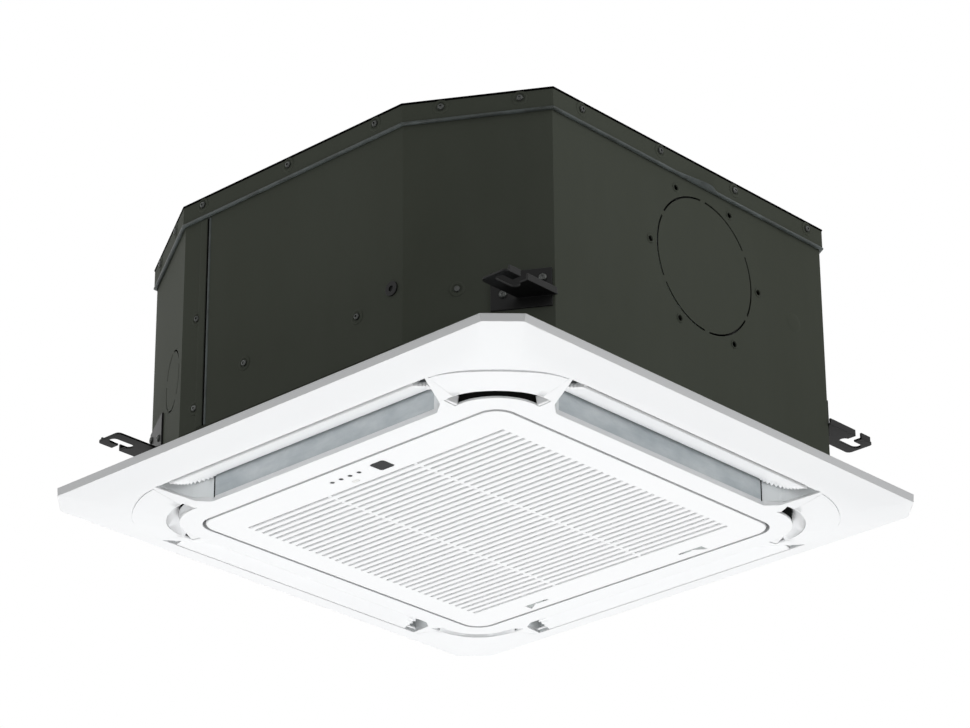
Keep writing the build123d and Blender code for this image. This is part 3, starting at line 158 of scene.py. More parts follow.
soft_lamp("lamp_below", (0.3, -0.5, -3.4), (0, 0, 0), 2.2, 88)
soft_lamp("lamp_beyond", (-1.7, 1.9, -2.8), (0, 0, 0), 1.8, 40, mirrored=False)
soft_lamp("lamp_left", (-2.8, -2.2, 1.2), (0, 0, 0.1), 2.0, 8)
soft_lamp("lamp_right", (3.4, 0.9, 1.6), (0, 0, 0.1), 2.0, 24)

floor_mesh = bpy.data.meshes.new("floor")
corners = np.array([[-1, -1], [1, -1], [1, 1], [-1, 1]]) * FLOOR_HALF
floor_mesh.from_pydata(np.column_stack([corners, np.full(4, FLOOR_Z)]).tolist(), [], [(0, 1, 2, 3)])
floor = bpy.data.objects.new("floor", floor_mesh)
bpy.context.collection.objects.link(floor)
floor_finish = bpy.data.materials.new("floor_paint")
floor_finish.use_nodes = True
paint = floor_finish.node_tree.nodes["Principled BSDF"]
paint.inputs["Base Color"].default_value = FLOOR_COLOUR
paint.inputs["Roughness"].default_value = FLOOR_ROUGH
paint.inputs["Emission Color"].default_value = WHITE
floor_tree = floor_finish.node_tree
glow = node_of(floor_tree, "ShaderNodeMath", operation="MULTIPLY")
glow.inputs[1].default_value = FLOOR_GLOW
wire(
    floor_tree, (seen_rays(floor_tree), glow.inputs[0]), (glow.outputs[0], paint.inputs["Emission Strength"])
)
floor_mesh.materials.append(floor_finish)

# %% [markdown]
# ## Finishes: shared node groups
# Real surfaces are never one flat colour. Three effects repeat over most of this object, so
# each is a node group made once: `mottle` (a slow drift of colour and gloss with a fine
# grain, over edges that look slightly rounded), `edge_wear` (a mask along sharp edges, from
# the difference between the true normal and one rounded by the Bevel node) and
# `settled_dust` (a mask on faces that look up).

# %% Group helpers
def new_group(name, sockets_in, sockets_out):
    """An empty node group, the sockets that it is given and those that it gives; each entry
    is (name, kind, value), or (name, kind) for what it gives."""
    group = bpy.data.node_groups.new(name, "ShaderNodeTree")
    for label, kind, value in sockets_in:
        socket = group.interface.new_socket(label, in_out="INPUT", socket_type=f"NodeSocket{kind}")
        socket.default_value = value
    for label, kind in sockets_out:
        group.interface.new_socket(label, in_out="OUTPUT", socket_type=f"NodeSocket{kind}")
    return group, group.nodes.new("NodeGroupInput").outputs, group.nodes.new("NodeGroupOutput").inputs


# %% Mottle
mottle, given, gives = new_group(
    "mottle",
    [("Colour", "Color", (0.5, 0.5, 0.5, 1)), ("Second Colour", "Color", (0.4, 0.4, 0.4, 1)),
     ("Patch Scale", "Float", 6.0), ("Grain Scale", "Float", 900.0), ("Stretch", "Vector", (1, 1, 1)),
     ("Roughness", "Float", 0.5), ("Roughness Spread", "Float", 0.1), ("Grain Height", "Float", 0.05),
     ("Edge Radius", "Float", 0.0005)],
    [("Colour", "Color"), ("Roughness", "Float"), ("Normal", "Vector")],
)
place = node_of(mottle, "ShaderNodeTexCoord")
stretch = node_of(mottle, "ShaderNodeVectorMath", operation="MULTIPLY")
patches = node_of(mottle, "ShaderNodeTexNoise", Detail=5.0, Roughness=0.6)
grain = node_of(mottle, "ShaderNodeTexNoise", Detail=2.0)
blend_colour = node_of(mottle, "ShaderNodeMix", data_type="RGBA")
contrast = node_of(mottle, "ShaderNodeMapRange", From_Min=0.3, From_Max=0.7)
spread = node_of(mottle, "ShaderNodeMath", operation="MULTIPLY_ADD")
centre = node_of(mottle, "ShaderNodeMath", operation="SUBTRACT")
centre.inputs[1].default_value = 0.5
bump = node_of(mottle, "ShaderNodeBump", Distance=0.0004)
soft_edge = node_of(mottle, "ShaderNodeBevel", samples=4)
wire(
    mottle,
    (given["Edge Radius"], soft_edge.inputs["Radius"]), (soft_edge.outputs[0], bump.inputs["Normal"]),
    (place.outputs["Object"], stretch.inputs[0]), (given["Stretch"], stretch.inputs[1]),
    (stretch.outputs[0], patches.inputs["Vector"]), (given["Patch Scale"], patches.inputs["Scale"]),
    (stretch.outputs[0], grain.inputs["Vector"]), (given["Grain Scale"], grain.inputs["Scale"]),
    (patches.outputs["Fac"], contrast.inputs["Value"]), (contrast.outputs[0], blend_colour.inputs["Factor"]),
    (given["Colour"], blend_colour.inputs["A"]), (given["Second Colour"], blend_colour.inputs["B"]),
    (patches.outputs["Fac"], centre.inputs[0]), (centre.outputs[0], spread.inputs[0]),
    (given["Roughness Spread"], spread.inputs[1]), (given["Roughness"], spread.inputs[2]),
    (grain.outputs["Fac"], bump.inputs["Height"]), (given["Grain Height"], bump.inputs["Strength"]),
    (blend_colour.outputs["Result"], gives["Colour"]), (spread.outputs[0], gives["Roughness"]),
    (bump.outputs["Normal"], gives["Normal"]),
)

# %% Edge wear
edge_wear, given, gives = new_group(
    "edge_wear", [("Width", "Float", 0.0015), ("Amount", "Float", 0.5), ("Break Scale", "Float", 60.0)],
    [("Mask", "Float")],
)
rounded = node_of(edge_wear, "ShaderNodeBevel", samples=6)
true_normal = node_of(edge_wear, "ShaderNodeNewGeometry")
same = node_of(edge_wear, "ShaderNodeVectorMath", operation="DOT_PRODUCT")
differ = node_of(edge_wear, "ShaderNodeMapRange", From_Min=0.995, From_Max=0.80, To_Min=0.0, To_Max=1.0)
place = node_of(edge_wear, "ShaderNodeTexCoord")
breaks = node_of(edge_wear, "ShaderNodeTexNoise", Detail=4.0)
patchy = node_of(edge_wear, "ShaderNodeMapRange", From_Min=0.42, From_Max=0.62)
worn = node_of(edge_wear, "ShaderNodeMath", operation="MULTIPLY")
scaled = node_of(edge_wear, "ShaderNodeMath", operation="MULTIPLY", use_clamp=True)
wire(
    edge_wear,
    (given["Width"], rounded.inputs["Radius"]), (rounded.outputs[0], same.inputs[0]),
    (true_normal.outputs["True Normal"], same.inputs[1]), (same.outputs["Value"], differ.inputs["Value"]),
    (place.outputs["Object"], breaks.inputs["Vector"]), (given["Break Scale"], breaks.inputs["Scale"]),
    (breaks.outputs["Fac"], patchy.inputs["Value"]), (differ.outputs[0], worn.inputs[0]),
    (patchy.outputs[0], worn.inputs[1]), (worn.outputs[0], scaled.inputs[0]),
    (given["Amount"], scaled.inputs[1]), (scaled.outputs[0], gives["Mask"]),
)

# %% Settled dust
settled_dust, given, gives = new_group(
    "settled_dust", [("Amount", "Float", 0.3), ("Speck Scale", "Float", 40.0)], [("Mask", "Float")]
)
facing = node_of(settled_dust, "ShaderNodeNewGeometry")
split = node_of(settled_dust, "ShaderNodeSeparateXYZ")
upward = node_of(settled_dust, "ShaderNodeMapRange", From_Min=0.3, From_Max=1.0)
place = node_of(settled_dust, "ShaderNodeTexCoord")
specks = node_of(settled_dust, "ShaderNodeTexNoise", Detail=8.0, Roughness=0.7)
thin = node_of(settled_dust, "ShaderNodeMapRange", From_Min=0.45, From_Max=0.75)
both = node_of(settled_dust, "ShaderNodeMath", operation="MULTIPLY")
scaled = node_of(settled_dust, "ShaderNodeMath", operation="MULTIPLY", use_clamp=True)
wire(
    settled_dust,
    (facing.outputs["Normal"], split.inputs[0]), (split.outputs["Z"], upward.inputs["Value"]),
    (place.outputs["Object"], specks.inputs["Vector"]), (given["Speck Scale"], specks.inputs["Scale"]),
    (specks.outputs["Fac"], thin.inputs["Value"]), (upward.outputs[0], both.inputs[0]),
    (thin.outputs[0], both.inputs[1]), (both.outputs[0], scaled.inputs[0]),
    (given["Amount"], scaled.inputs[1]), (scaled.outputs[0], gives["Mask"]),
)
print("groups:", [group.name for group in bpy.data.node_groups])


# %% [markdown]
# ## Finishes: materials
# One function lays the groups out for a finish: mottle gives the ground colour, worn edges
# are mixed over it, and dust over that. Each finish of the object is one call with its own
# colours and scales, so a new finish costs one line.

# %% Material builder
DUST = (0.42, 0.40, 0.37)


def laid_over(tree, mask, below, colour):
    """The socket of a colour mixed over the one below by a mask."""
    mix = node_of(tree, "ShaderNodeMix", data_type="RGBA")
    mix.inputs["B"].default_value = (*colour, 1)
    wire(tree, (mask, mix.inputs["Factor"]), (below, mix.inputs["A"]))
    return mix.outputs["Result"]


def finish(
    name, colour, second, patch=6.0, grain_scale=900.0, stretch=(1, 1, 1), rough=0.5, spread=0.1,
    height=0.05, metal=0.0, wear=None, wear_amount=0.0, wear_width=0.0012, dust=0.0, specular=0.5,
    edge=0.0005,
):
    """A material of mottled ground, worn edges and dust, in that order."""
    material = bpy.data.materials.new(name)
    material.use_nodes = True
    tree = material.node_tree
    shader = tree.nodes["Principled BSDF"]
    shader.inputs["Metallic"].default_value = metal
    shader.inputs["Specular IOR Level"].default_value = specular
    ground = node_of(
        tree, "ShaderNodeGroup", node_tree=mottle, Colour=(*colour, 1), Second_Colour=(*second, 1),
        Patch_Scale=patch, Grain_Scale=grain_scale, Stretch=stretch, Roughness=rough,
        Roughness_Spread=spread, Grain_Height=height, Edge_Radius=edge,
    )
    top_colour = ground.outputs["Colour"]
    if wear_amount:
        edges = node_of(tree, "ShaderNodeGroup", node_tree=edge_wear, Width=wear_width, Amount=wear_amount)
        top_colour = laid_over(tree, edges.outputs["Mask"], top_colour, wear)
    if dust:
        fall = node_of(tree, "ShaderNodeGroup", node_tree=settled_dust, Amount=dust)
        top_colour = laid_over(tree, fall.outputs["Mask"], top_colour, DUST)
    wire(
        tree, (top_colour, shader.inputs["Base Color"]),
        (ground.outputs["Roughness"], shader.inputs["Roughness"]),
        (ground.outputs["Normal"], shader.inputs["Normal"]),
    )
    return material


MOULDED = dict(patch=3.0, grain_scale=1500.0, rough=0.36, spread=0.08, height=0.03, specular=0.35)
FINISHES = {
    "panel": finish(
        "panel_white", (0.865, 0.875, 0.885), (0.845, 0.855, 0.868), wear=(0.92, 0.92, 0.92),
        wear_amount=0.3, edge=0.0008, **MOULDED,
    ),
    "grille": finish("grille_white", (0.875, 0.882, 0.89), (0.855, 0.865, 0.875), edge=0.0022, **MOULDED),
    "cover": finish("cover_white", (0.865, 0.875, 0.885), (0.845, 0.855, 0.868), edge=0.0001, **MOULDED),
    # The flap white is a lighter copy of the panel white: painted light, so that the flaps' shaded undersides
    # look as bright as the panel.
    "flap": finish("flap_white", (0.885, 0.892, 0.9), (0.87, 0.878, 0.888), edge=0.002, **MOULDED),
    # The casing mottle is stretched upright: its lighter streaks are partly the paint's own uneven tone and
    # partly painted sheen.
    "casing": finish(
        "casing_paint", (0.078, 0.086, 0.067), (0.098, 0.108, 0.087), 5.0, 700.0, (1, 1, 0.3), rough=0.62,
        spread=0.25, height=0.12, wear=(0.13, 0.14, 0.125), wear_amount=0.8, wear_width=0.001, dust=0.2,
        specular=0.05,
    ),
    "bracket": finish(
        "bracket_paint", (0.0035, 0.0036, 0.0036), (0.007, 0.0072, 0.007), 12.0, rough=0.42, spread=0.2,
        height=0.1, wear=(0.055, 0.06, 0.06), wear_amount=0.8, wear_width=0.001, dust=0.15,
        specular=0.2, edge=0.001,
    ),
    # The pale worn edges of the screw heads are partly wear and partly painted highlight that stands in for
    # their glints.
    "steel": finish(
        "screw_blackened", (0.03, 0.032, 0.03), (0.1, 0.105, 0.1), 180.0, 2500.0, rough=0.32, spread=0.2,
        metal=0.6, wear=(0.45, 0.47, 0.46), wear_amount=0.9, wear_width=0.0006, specular=0.3,
    ),
    "galvanised": finish(
        "galvanised_sheet", (0.5, 0.52, 0.53), (0.62, 0.64, 0.66), 90.0, 500.0, rough=0.42, spread=0.3,
        metal=1.0, wear=(0.75, 0.76, 0.76), wear_amount=0.4, dust=0.2,
    ),
    "foam": finish(
        "pan_foam", (0.74, 0.77, 0.77), (0.68, 0.71, 0.72), 30.0, 260.0,
        rough=0.85, height=0.5, dust=0.2,
    ),
    "liner": finish(
        "liner_foam", (0.03, 0.03, 0.03), (0.045, 0.045, 0.043), 14.0, 420.0,
        rough=0.9, height=0.6, dust=0.3,
    ),
    "seal": finish(
        "seal_foam", (0.004, 0.004, 0.004), (0.007, 0.007, 0.007), 14.0, 600.0,
        rough=0.95, height=0.5, specular=0.05,
    ),
    "copper": finish(
        "copper_tube", (0.68, 0.34, 0.2), (0.5, 0.24, 0.14), 25.0, 900.0, (1, 1, 0.2), rough=0.28,
        spread=0.3, metal=1.0, wear=(0.8, 0.5, 0.35), wear_amount=0.4,
    ),
    "nut_brass": finish(
        "turned_brass", (0.66, 0.5, 0.22), (0.56, 0.41, 0.17), 40.0, 1800.0, rough=0.25, spread=0.15,
        metal=1.0, wear=(0.85, 0.72, 0.42), wear_amount=0.6,
    ),
    "fins": finish("fin_stock", (0.52, 0.6, 0.68), (0.6, 0.66, 0.72), 10.0, 800.0, rough=0.4, metal=0.8),
    "fan": finish(
        "fan_moulding", (0.06, 0.063, 0.067), (0.08, 0.083, 0.086), 8.0, 1200.0,
        rough=0.5, dust=0.25, specular=0.3,
    ),
    "motor": finish(
        "motor_paint", (0.16, 0.165, 0.165), (0.2, 0.2, 0.2), 12.0, 800.0, rough=0.45, metal=0.2,
        wear=(0.4, 0.4, 0.4), wear_amount=0.5, dust=0.2,
    ),
    "rubber": finish(
        "rubber_black", (0.005, 0.005, 0.005), (0.01, 0.01, 0.01), 20.0, rough=0.55,
        height=0.15, specular=0.2,
    ),
    "board": finish("board_green", (0.02, 0.16, 0.06), (0.03, 0.22, 0.09), 30.0, rough=0.35),
    "black_plastic": finish(
        "black_moulding", (0.008, 0.008, 0.009), (0.013, 0.013, 0.014), 12.0, 1500.0, rough=0.45,
        specular=0.3,
    ),
    "window": finish(
        "window_smoke", (0.01, 0.011, 0.013), (0.018, 0.019, 0.021), 120.0, rough=0.12, height=0.0,
        specular=0.12,
    ),
    # The latch grey is painted shade: it stands in for the dark slit and the shaded recess beside each latch.
    "latch": finish(
        "latch_grey", (0.42, 0.46, 0.45), (0.36, 0.39, 0.385), 40.0, 1500.0, rough=0.45, specular=0.3,
    ),
    "lamp": finish(
        "lamp_lens", (0.03, 0.032, 0.034), (0.05, 0.052, 0.054), 300.0,
        rough=0.2, height=0.0, specular=0.2,
    ),
    "white_plastic": finish(
        "white_moulding", (0.78, 0.78, 0.76), (0.72, 0.72, 0.7), 8.0, 1200.0, rough=0.45,
    ),
    "mesh": finish("filter_net", (0.1, 0.11, 0.12), (0.14, 0.15, 0.16), 20.0, 1500.0, rough=0.8, height=0.6),
    # The duct colour is paler than the moulding's own grey: painted light that brightens the shaded ends of
    # the outlets.
    "duct": finish(
        "duct_moulding", (0.88, 0.91, 0.92), (0.82, 0.85, 0.86), 9.0,
        rough=0.55, dust=0.1, specular=0.3,
    ),
    "guide": finish(
        "guide_moulding", (0.64, 0.68, 0.7), (0.47, 0.52, 0.55), 26.0, 900.0, (1, 1, 2.5), rough=0.5,
        spread=0.4, height=0.2, specular=0.3,
    ),
    "pipe": finish("pipe_grey", (0.45, 0.46, 0.46), (0.4, 0.41, 0.41), 9.0, rough=0.45, dust=0.2),
}
# The hem colour, paler than the casing, is partly bare metal and partly painted highlight on rolled edges.
HEM = finish(
    "bare_hem", (0.05, 0.058, 0.052), (0.15, 0.175, 0.175), 30.0, rough=0.4, spread=0.3, height=0.2,
    wear=(0.24, 0.27, 0.27), wear_amount=0.5, wear_width=0.0006, specular=0.25,
)
SHADOW_LINE = finish(
    "shadow_line", (0.0015, 0.0015, 0.0015), (0.003, 0.003, 0.003), 30.0, rough=0.9, height=0.2,
    specular=0.02,
)
NODE_SLOT = {part["node"]: part["material_slot"] for part in frame["record"]["subparts"]}
# The latches take the grey latch finish, which is painted shade.
OWN_FINISH = {"intake_grille": "grille", "latch_left": "latch", "latch_right": "latch"}
# The flaps take the lighter flap white, which is painted light.
OWN_FINISH.update({f"flap_{side}": "flap" for side in ("right", "rear", "left", "front")})
for name, node in frame["nodes"].items():
    node.data.materials.clear()
    node.data.materials.append(FINISHES[OWN_FINISH.get(name, NODE_SLOT[name])])
print(len(NODE_SLOT), "nodes finished with", len(FINISHES), "materials")

# %% [markdown]
# ## Tools for new surfaces
# A new piece is a grid of points worked out by a formula. The helpers turn such grids into
# objects: they list the quads, close a strip's ends, join forms, smooth the shading without
# rounding off sharp corners, and hang the piece on its body.

# %% Mesh helpers
def grid_faces(rows, columns, wrap_rows=False, wrap_columns=False):
    """Quads between neighbouring points of a grid that is stored row by row."""
    r = np.arange(rows if wrap_rows else rows - 1)[:, None]
    c = np.arange(columns if wrap_columns else columns - 1)[None, :]
    near, far = r * columns, (r + 1) % rows * columns
    following = (c + 1) % columns
    return np.stack([near + c, near + following, far + following, far + c], axis=-1).reshape(-1, 4)


def capped(rings):
    """A closed strip through a row of rings: at each end a ring drawn together in its middle,
    which welding makes one point."""
    first, last = (np.repeat(rings[i].mean(axis=0)[None], rings.shape[1], axis=0)[None] for i in (0, -1))
    rings = np.concatenate([first, rings, last])
    return rings.reshape(-1, 3), grid_faces(len(rings), rings.shape[1], wrap_columns=True)


def signed_volume(points, faces):
    """The sum over quads of a.(b x c) + a.(c x d), divided by six: positive when faces look out."""
    a, b, c, d = (points[faces[:, i]] for i in range(4))
    return float((a * np.cross(b, c)).sum() + (a * np.cross(c, d)).sum()) / 6


def joined(forms):
    """Several closed forms, each (points, quads), as one; every form's faces look outwards."""
    points, faces, total = [], [], 0
    for local, quads in forms:
        inside_out = signed_volume(local - local.mean(axis=0), quads) < 0
        points.append(local)
        faces.append((quads[:, ::-1] if inside_out else quads) + total)
        total += len(local)
    return np.vstack(points), np.vstack(faces)


def shade(mesh, degrees):
    """Smooth shading that breaks where two faces meet at more than an angle."""
    mesh.polygons.foreach_set("use_smooth", np.ones(len(mesh.polygons), dtype=bool))
    mesh.set_sharp_from_angle(angle=np.radians(degrees))


def hang(name, mesh, material, body, stands_for, degrees=30):
    """A shaded object at the origin, riding on a body and the nodes it stands for."""
    mesh.materials.clear()
    mesh.materials.append(material)
    shade(mesh, degrees)
    piece = bpy.data.objects.new(name, mesh)
    bpy.context.collection.objects.link(piece)
    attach(piece, body)
    if stands_for:
        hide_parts(*stands_for)
    print(name, len(mesh.vertices), "points,", len(mesh.polygons), "faces")


def new_piece(name, points, faces, material, body="housing", slot=None, stands_for=()):
    """A piece with outward faces from points in millimetres, welded where they coincide."""
    points = np.asarray(points, dtype=float).reshape(-1, 3)
    if signed_volume(points - points.mean(axis=0), faces) < 0:
        faces = faces[:, ::-1]
    mesh = bpy.data.meshes.new(name)
    mesh.from_pydata((points / 1000).tolist(), [], faces.tolist())
    weld = bmesh.new()
    weld.from_mesh(mesh)
    bmesh.ops.remove_doubles(weld, verts=weld.verts, dist=1e-7)
    weld.to_mesh(mesh)
    weld.free()
    hang(name, mesh, material, body, stands_for)


# %% Copies of one small form
def turned(profile, segments, hexagon=()):
    """A closed profile of (radius, height) turned about the height axis. A row listed in
    hexagon has its radius divided by the cosine of the angle to the nearest flat's middle."""
    profile = np.array(profile, dtype=float)
    angle = np.arange(segments) * 2 * np.pi / segments
    flat = 1 / np.cos((angle % (np.pi / 3)) - np.pi / 6)
    radius = np.repeat(profile[:, :1], segments, axis=1)
    radius[list(hexagon)] *= flat
    height = np.repeat(profile[:, 1:], segments, axis=1)
    points = np.stack([radius * np.cos(angle), radius * np.sin(angle), height], axis=-1)
    return points.reshape(-1, 3), grid_faces(len(profile), segments, wrap_rows=True, wrap_columns=True)


def copied(local, faces, frames):
    """The same small form in many frames: origin + local x axes, all in one array."""
    frames = np.array(frames, dtype=float)
    points = frames[:, None, 0] + np.einsum("pi,fij->fpj", local, frames[:, 1:])
    shift = np.arange(len(frames))[:, None, None] * len(local)
    return points.reshape(-1, 3), (faces[None] + shift).reshape(-1, 4)


# %% The casing's eight upright faces
CASING_HALF, CHAMFER_X, CHAMFER_Y = 285.0, 128.0, 76.0
CHAMFER_LONG = np.hypot(CHAMFER_X, CHAMFER_Y)


def face_frame(across, along):
    """Origin and axes of an upright plane: along it, up, and out of it."""
    out = np.cross(along, (0.0, 0.0, 1.0))
    return np.array(across, dtype=float), np.array([along, (0.0, 0.0, 1.0), out])


def chamfer_frame(sx, sy):
    """The chamfer in the corner (sx, sy), measured from its middle."""
    middle = (sx * (CASING_HALF - CHAMFER_X / 2), sy * (CASING_HALF - CHAMFER_Y / 2), 0)
    return face_frame(middle, (-sy * CHAMFER_X / CHAMFER_LONG, sx * CHAMFER_Y / CHAMFER_LONG, 0))


FACES = {
    "right": face_frame((CASING_HALF, 0, 0), (0, 1, 0)),
    "rear": face_frame((0, CASING_HALF, 0), (-1, 0, 0)),
    "left": face_frame((-CASING_HALF, 0, 0), (0, -1, 0)),
    "front": face_frame((0, -CASING_HALF, 0), (1, 0, 0)),
    "front_right": chamfer_frame(1, -1),
    "front_left": chamfer_frame(-1, -1),
    "rear_right": chamfer_frame(1, 1),
    "rear_left": chamfer_frame(-1, 1),
}


def on_face(face, along, up, proud=0.0):
    """The frame of a point on one of the faces, standing proud of it."""
    origin, axes = FACES[face]
    return np.vstack([origin + np.array([along, up, proud]) @ axes, axes])


print("faces:", {name: [round(v) for v in frame_at[0]] for name, frame_at in FACES.items()})

# %% [markdown]
# ## Sheet-metal screws
# The casing is held together by pan-head screws with a hexagon recess, and each sits in a
# shallow pressed ring. A screw is a profile turned about its axis; the recess rows are
# pushed out to a hexagon. All screws of one node are one mesh.

# %% Screws
LID_PROUD, LID_SCREW_UP = 3.0, 279.0
SEAM_SCREWS = [(face, -135.0, up, 0.0) for face in ("front", "rear") for up in (52.0, 152.0)]
WALL_SCREWS = SEAM_SCREWS + [("front", -63.0, 79.0, 0.0), ("front", 95.5, 77.0, 0.0)]
LID_SIDES = ((("right", "left"), (-169.0, -51.0, 66.0, 185.0)), (("front", "rear"), (-128.0, -2.0, 121.0)))
LID_SCREWS = [(face, s, LID_SCREW_UP, LID_PROUD) for faces, row in LID_SIDES for face in faces for s in row]
LID_SCREWS += [("front_right", s, LID_SCREW_UP, LID_PROUD) for s in (-36.0, 43.0)]
LID_SCREWS += [("front_left", s, LID_SCREW_UP, LID_PROUD) for s in (36.0, -43.0)]
COVER_SCREWS = [("rear_left", s, up, 1.0) for s in (-37.53, 70.61) for up in (143.0, 247.0)]
BRACKET_SCREWS = [
    (corner, side * s, up, 2.0)
    for corner, side in (("front_right", 1), ("front_left", -1), ("rear_right", -1), ("rear_left", 1))
    for s, up in ((24.0, 68.0), (63.0, 82.0))
]


def screw_form(head, height=2.4):
    """Pan head with a hexagon recess, and a short shank under it."""
    profile = [
        (0.02, height - 1.5), (head * 0.36, height - 1.4), (head * 0.38, height - 0.15),
        (head * 0.46, height), (head * 0.74, height * 0.93), (head * 0.95, height * 0.60), (head, 0.15),
        (head * 0.97, -0.05), (1.7, -0.1), (1.6, -4.4), (0.02, -4.4),
    ]
    return turned(profile, 18, hexagon=(1, 2))


def pressed_ring(inner, outer, height):
    """A raised ring with a round back, closed into the sheet behind it."""
    share = np.linspace(0, np.pi, 6)
    middle, half = (inner + outer) / 2, (outer - inner) / 2
    profile = np.column_stack([middle - half * np.cos(share), height * np.sin(share)])
    return turned(np.vstack([profile, [(outer, -0.4), (inner, -0.4)]]), 24)


for name, places, head, node in (
    ("casing_screw_heads", WALL_SCREWS + LID_SCREWS + COVER_SCREWS, 3.4, "casing_screws"),
    ("bracket_screw_heads", BRACKET_SCREWS, 4.0, "bracket_screws"),
):
    form = copied(*screw_form(head), [on_face(*place) for place in places])
    new_piece(name, *form, FINISHES["steel"], slot="steel", stands_for=[node])

RIVETS = [("front_right", -21.0, 80.0, 0.0), ("rear_right", 21.0, 80.0, 0.0)]
RINGED = WALL_SCREWS + LID_SCREWS + RIVETS
form = copied(*pressed_ring(4.6, 8.0, 0.8), [on_face(*place) for place in RINGED])
new_piece("pressed_screw_rings", *form, FINISHES["casing"], slot="casing")
rivet = turned([(0.02, 1.9), (1.5, 1.8), (2.7, 1.3), (3.3, 0.4), (3.4, -0.3), (0.02, -0.3)], 18)
form = copied(*rivet, [on_face(*place) for place in RIVETS])
new_piece("corner_rivets", *form, FINISHES["steel"], slot="steel")

# %% [markdown]
# ## Fresh-air port
# The round knock-out on the right side has six screw holes on a circle. Each hole was
# extruded by the press, which leaves a small lip; a flat round mark beside the port is
# where the sheet was struck for a second, unused hole.

# %% Port lips and the blind mark
PORT_AT, PORT_SCREW_CIRCLE, PORT_HOLE = (17.5, 176.0), 84.0, 3.0
turns = np.arange(6) * np.pi / 3
holes = [
    on_face("right", PORT_AT[0] + PORT_SCREW_CIRCLE * c, PORT_AT[1] + PORT_SCREW_CIRCLE * s)
    for c, s in zip(np.cos(turns), np.sin(turns))
]
form = copied(*pressed_ring(PORT_HOLE, PORT_HOLE + 2.0, 0.9), holes)
new_piece("port_hole_lips", *form, FINISHES["casing"], slot="casing")
blind = turned([(0.02, 0.45), (7.0, 0.45), (9.5, 0.35), (11.5, -0.05), (11.5, -0.3), (0.02, -0.3)], 32)
form = copied(*blind, [on_face("right", 159.0, 162.0)])
new_piece("blind_mark", *form, FINISHES["casing"], slot="casing")

# %% [markdown]
# ## Lid hem
# The lid's flange is folded back on itself along its lower edge. The fold shows as a pale
# line, partly bare metal where it has rubbed through its paint and partly painted highlight
# on its round, and it was bent by handling on the right side. It is a small profile carried
# along the eight-sided outline; the dents are bumps added to the profile where the
# photograph shows them.

# %% Hem and lid edge
def casing_path(step):
    """Points along the casing's outline and their outward directions, mitred at the corners by
    (n1 + n2) / (1 + n1.n2), so that moving a point by outset keeps the outline parallel."""
    near_x, near_y = CASING_HALF - CHAMFER_X, CASING_HALF - CHAMFER_Y
    corners = np.array([
        (CASING_HALF, -near_y), (CASING_HALF, near_y), (near_x, CASING_HALF), (-near_x, CASING_HALF),
        (-CASING_HALF, near_y), (-CASING_HALF, -near_y), (-near_x, -CASING_HALF), (near_x, -CASING_HALF),
    ])
    edges = np.roll(corners, -1, axis=0) - corners
    lengths = np.linalg.norm(edges, axis=1)
    normals = np.column_stack([edges[:, 1], -edges[:, 0]]) / lengths[:, None]
    places, outward = [], []
    for i in range(8):
        before = normals[i - 1]
        mitre = (before + normals[i]) / (1 + before @ normals[i])
        share = np.arange(int(lengths[i] // step)) / int(lengths[i] // step)
        places.append(corners[i] + share[:, None] * edges[i])
        along = np.repeat(normals[i][None], len(share), axis=0)
        along[0] = mitre
        outward.append(along)
    return np.vstack(places), np.vstack(outward)


def carried(profile, path, outward, swell=0.0, lift=0.0):
    """A closed (outset, height) profile carried round the outline; swell and lift are one
    number per path point, times how far each profile point stands out."""
    profile = np.array(profile, dtype=float)
    reach = np.clip(profile[:, 0] - 2.9, 0, None) / 1.4
    outset = profile[None, :, 0] + np.reshape(swell, (-1, 1)) * reach
    height = profile[None, :, 1] + np.reshape(lift, (-1, 1)) * reach
    xy = path[:, None, :] + outset[..., None] * outward[:, None, :]
    points = np.concatenate([xy, height[..., None] * np.ones(xy.shape[:2] + (1,))], axis=-1)
    return points.reshape(-1, 3), grid_faces(len(path), len(profile), wrap_rows=True, wrap_columns=True)


path, outward = casing_path(3.0)
on_right = (path[:, 0] > CASING_HALF - 0.1).astype(float)
dent = np.clip((path[:, 1] + 30) / 50, 0, 1) * np.clip((38 - path[:, 1]) / 14, 0, 1) * on_right
dent = dent**2 * (3 - 2 * dent)
nib = (np.exp(-(((path[:, 1] - 70) / 5) ** 2)) + 0.6 * np.exp(-(((path[:, 1] - 150) / 10) ** 2))) * on_right
wave = 0.18 * np.sin(path[:, 0] / 31) + 0.18 * np.sin(path[:, 1] / 23)
fold = [
    (2.9, 266.5), (3.1, 266.6), (3.7, 266.1), (3.9, 265.3), (3.7, 264.4), (3.0, 263.8), (1.8, 263.5),
    (0.5, 263.8), (0.5, 264.3), (2.9, 264.6),
]
form = carried(fold, path, outward, swell=4.2 * dent + 1.2 * nib + wave, lift=3.0 * dent - 2.2 * nib)
new_piece("lid_hem", *form, HEM, slot="casing")
lid_edge = [
    (2.9, 285.4), (3.2, 285.6), (3.8, 286.6), (3.6, 287.7), (2.8, 287.95), (1.5, 287.9), (1.5, 286.5),
    (2.8, 286.0),
]
new_piece("lid_edge", *carried(lid_edge, path, outward), SHADOW_LINE, slot="casing")

# %% [markdown]
# ## Wall seams
# The front and rear walls overlap in one upright seam on two sides. The outer sheet ends in
# a fold that stands about a millimetre proud and throws a hard dark line beside it.

# %% Seam folds
SEAM_FROM, SEAM_TO = 29.5, 262.5


def upright_strip(profile, low=SEAM_FROM, high=SEAM_TO):
    """A closed (along, proud) profile carried straight up."""
    along, proud = np.array(profile, dtype=float).T
    return capped(np.stack([np.column_stack([along, np.full(len(along), up), proud]) for up in (low, high)]))


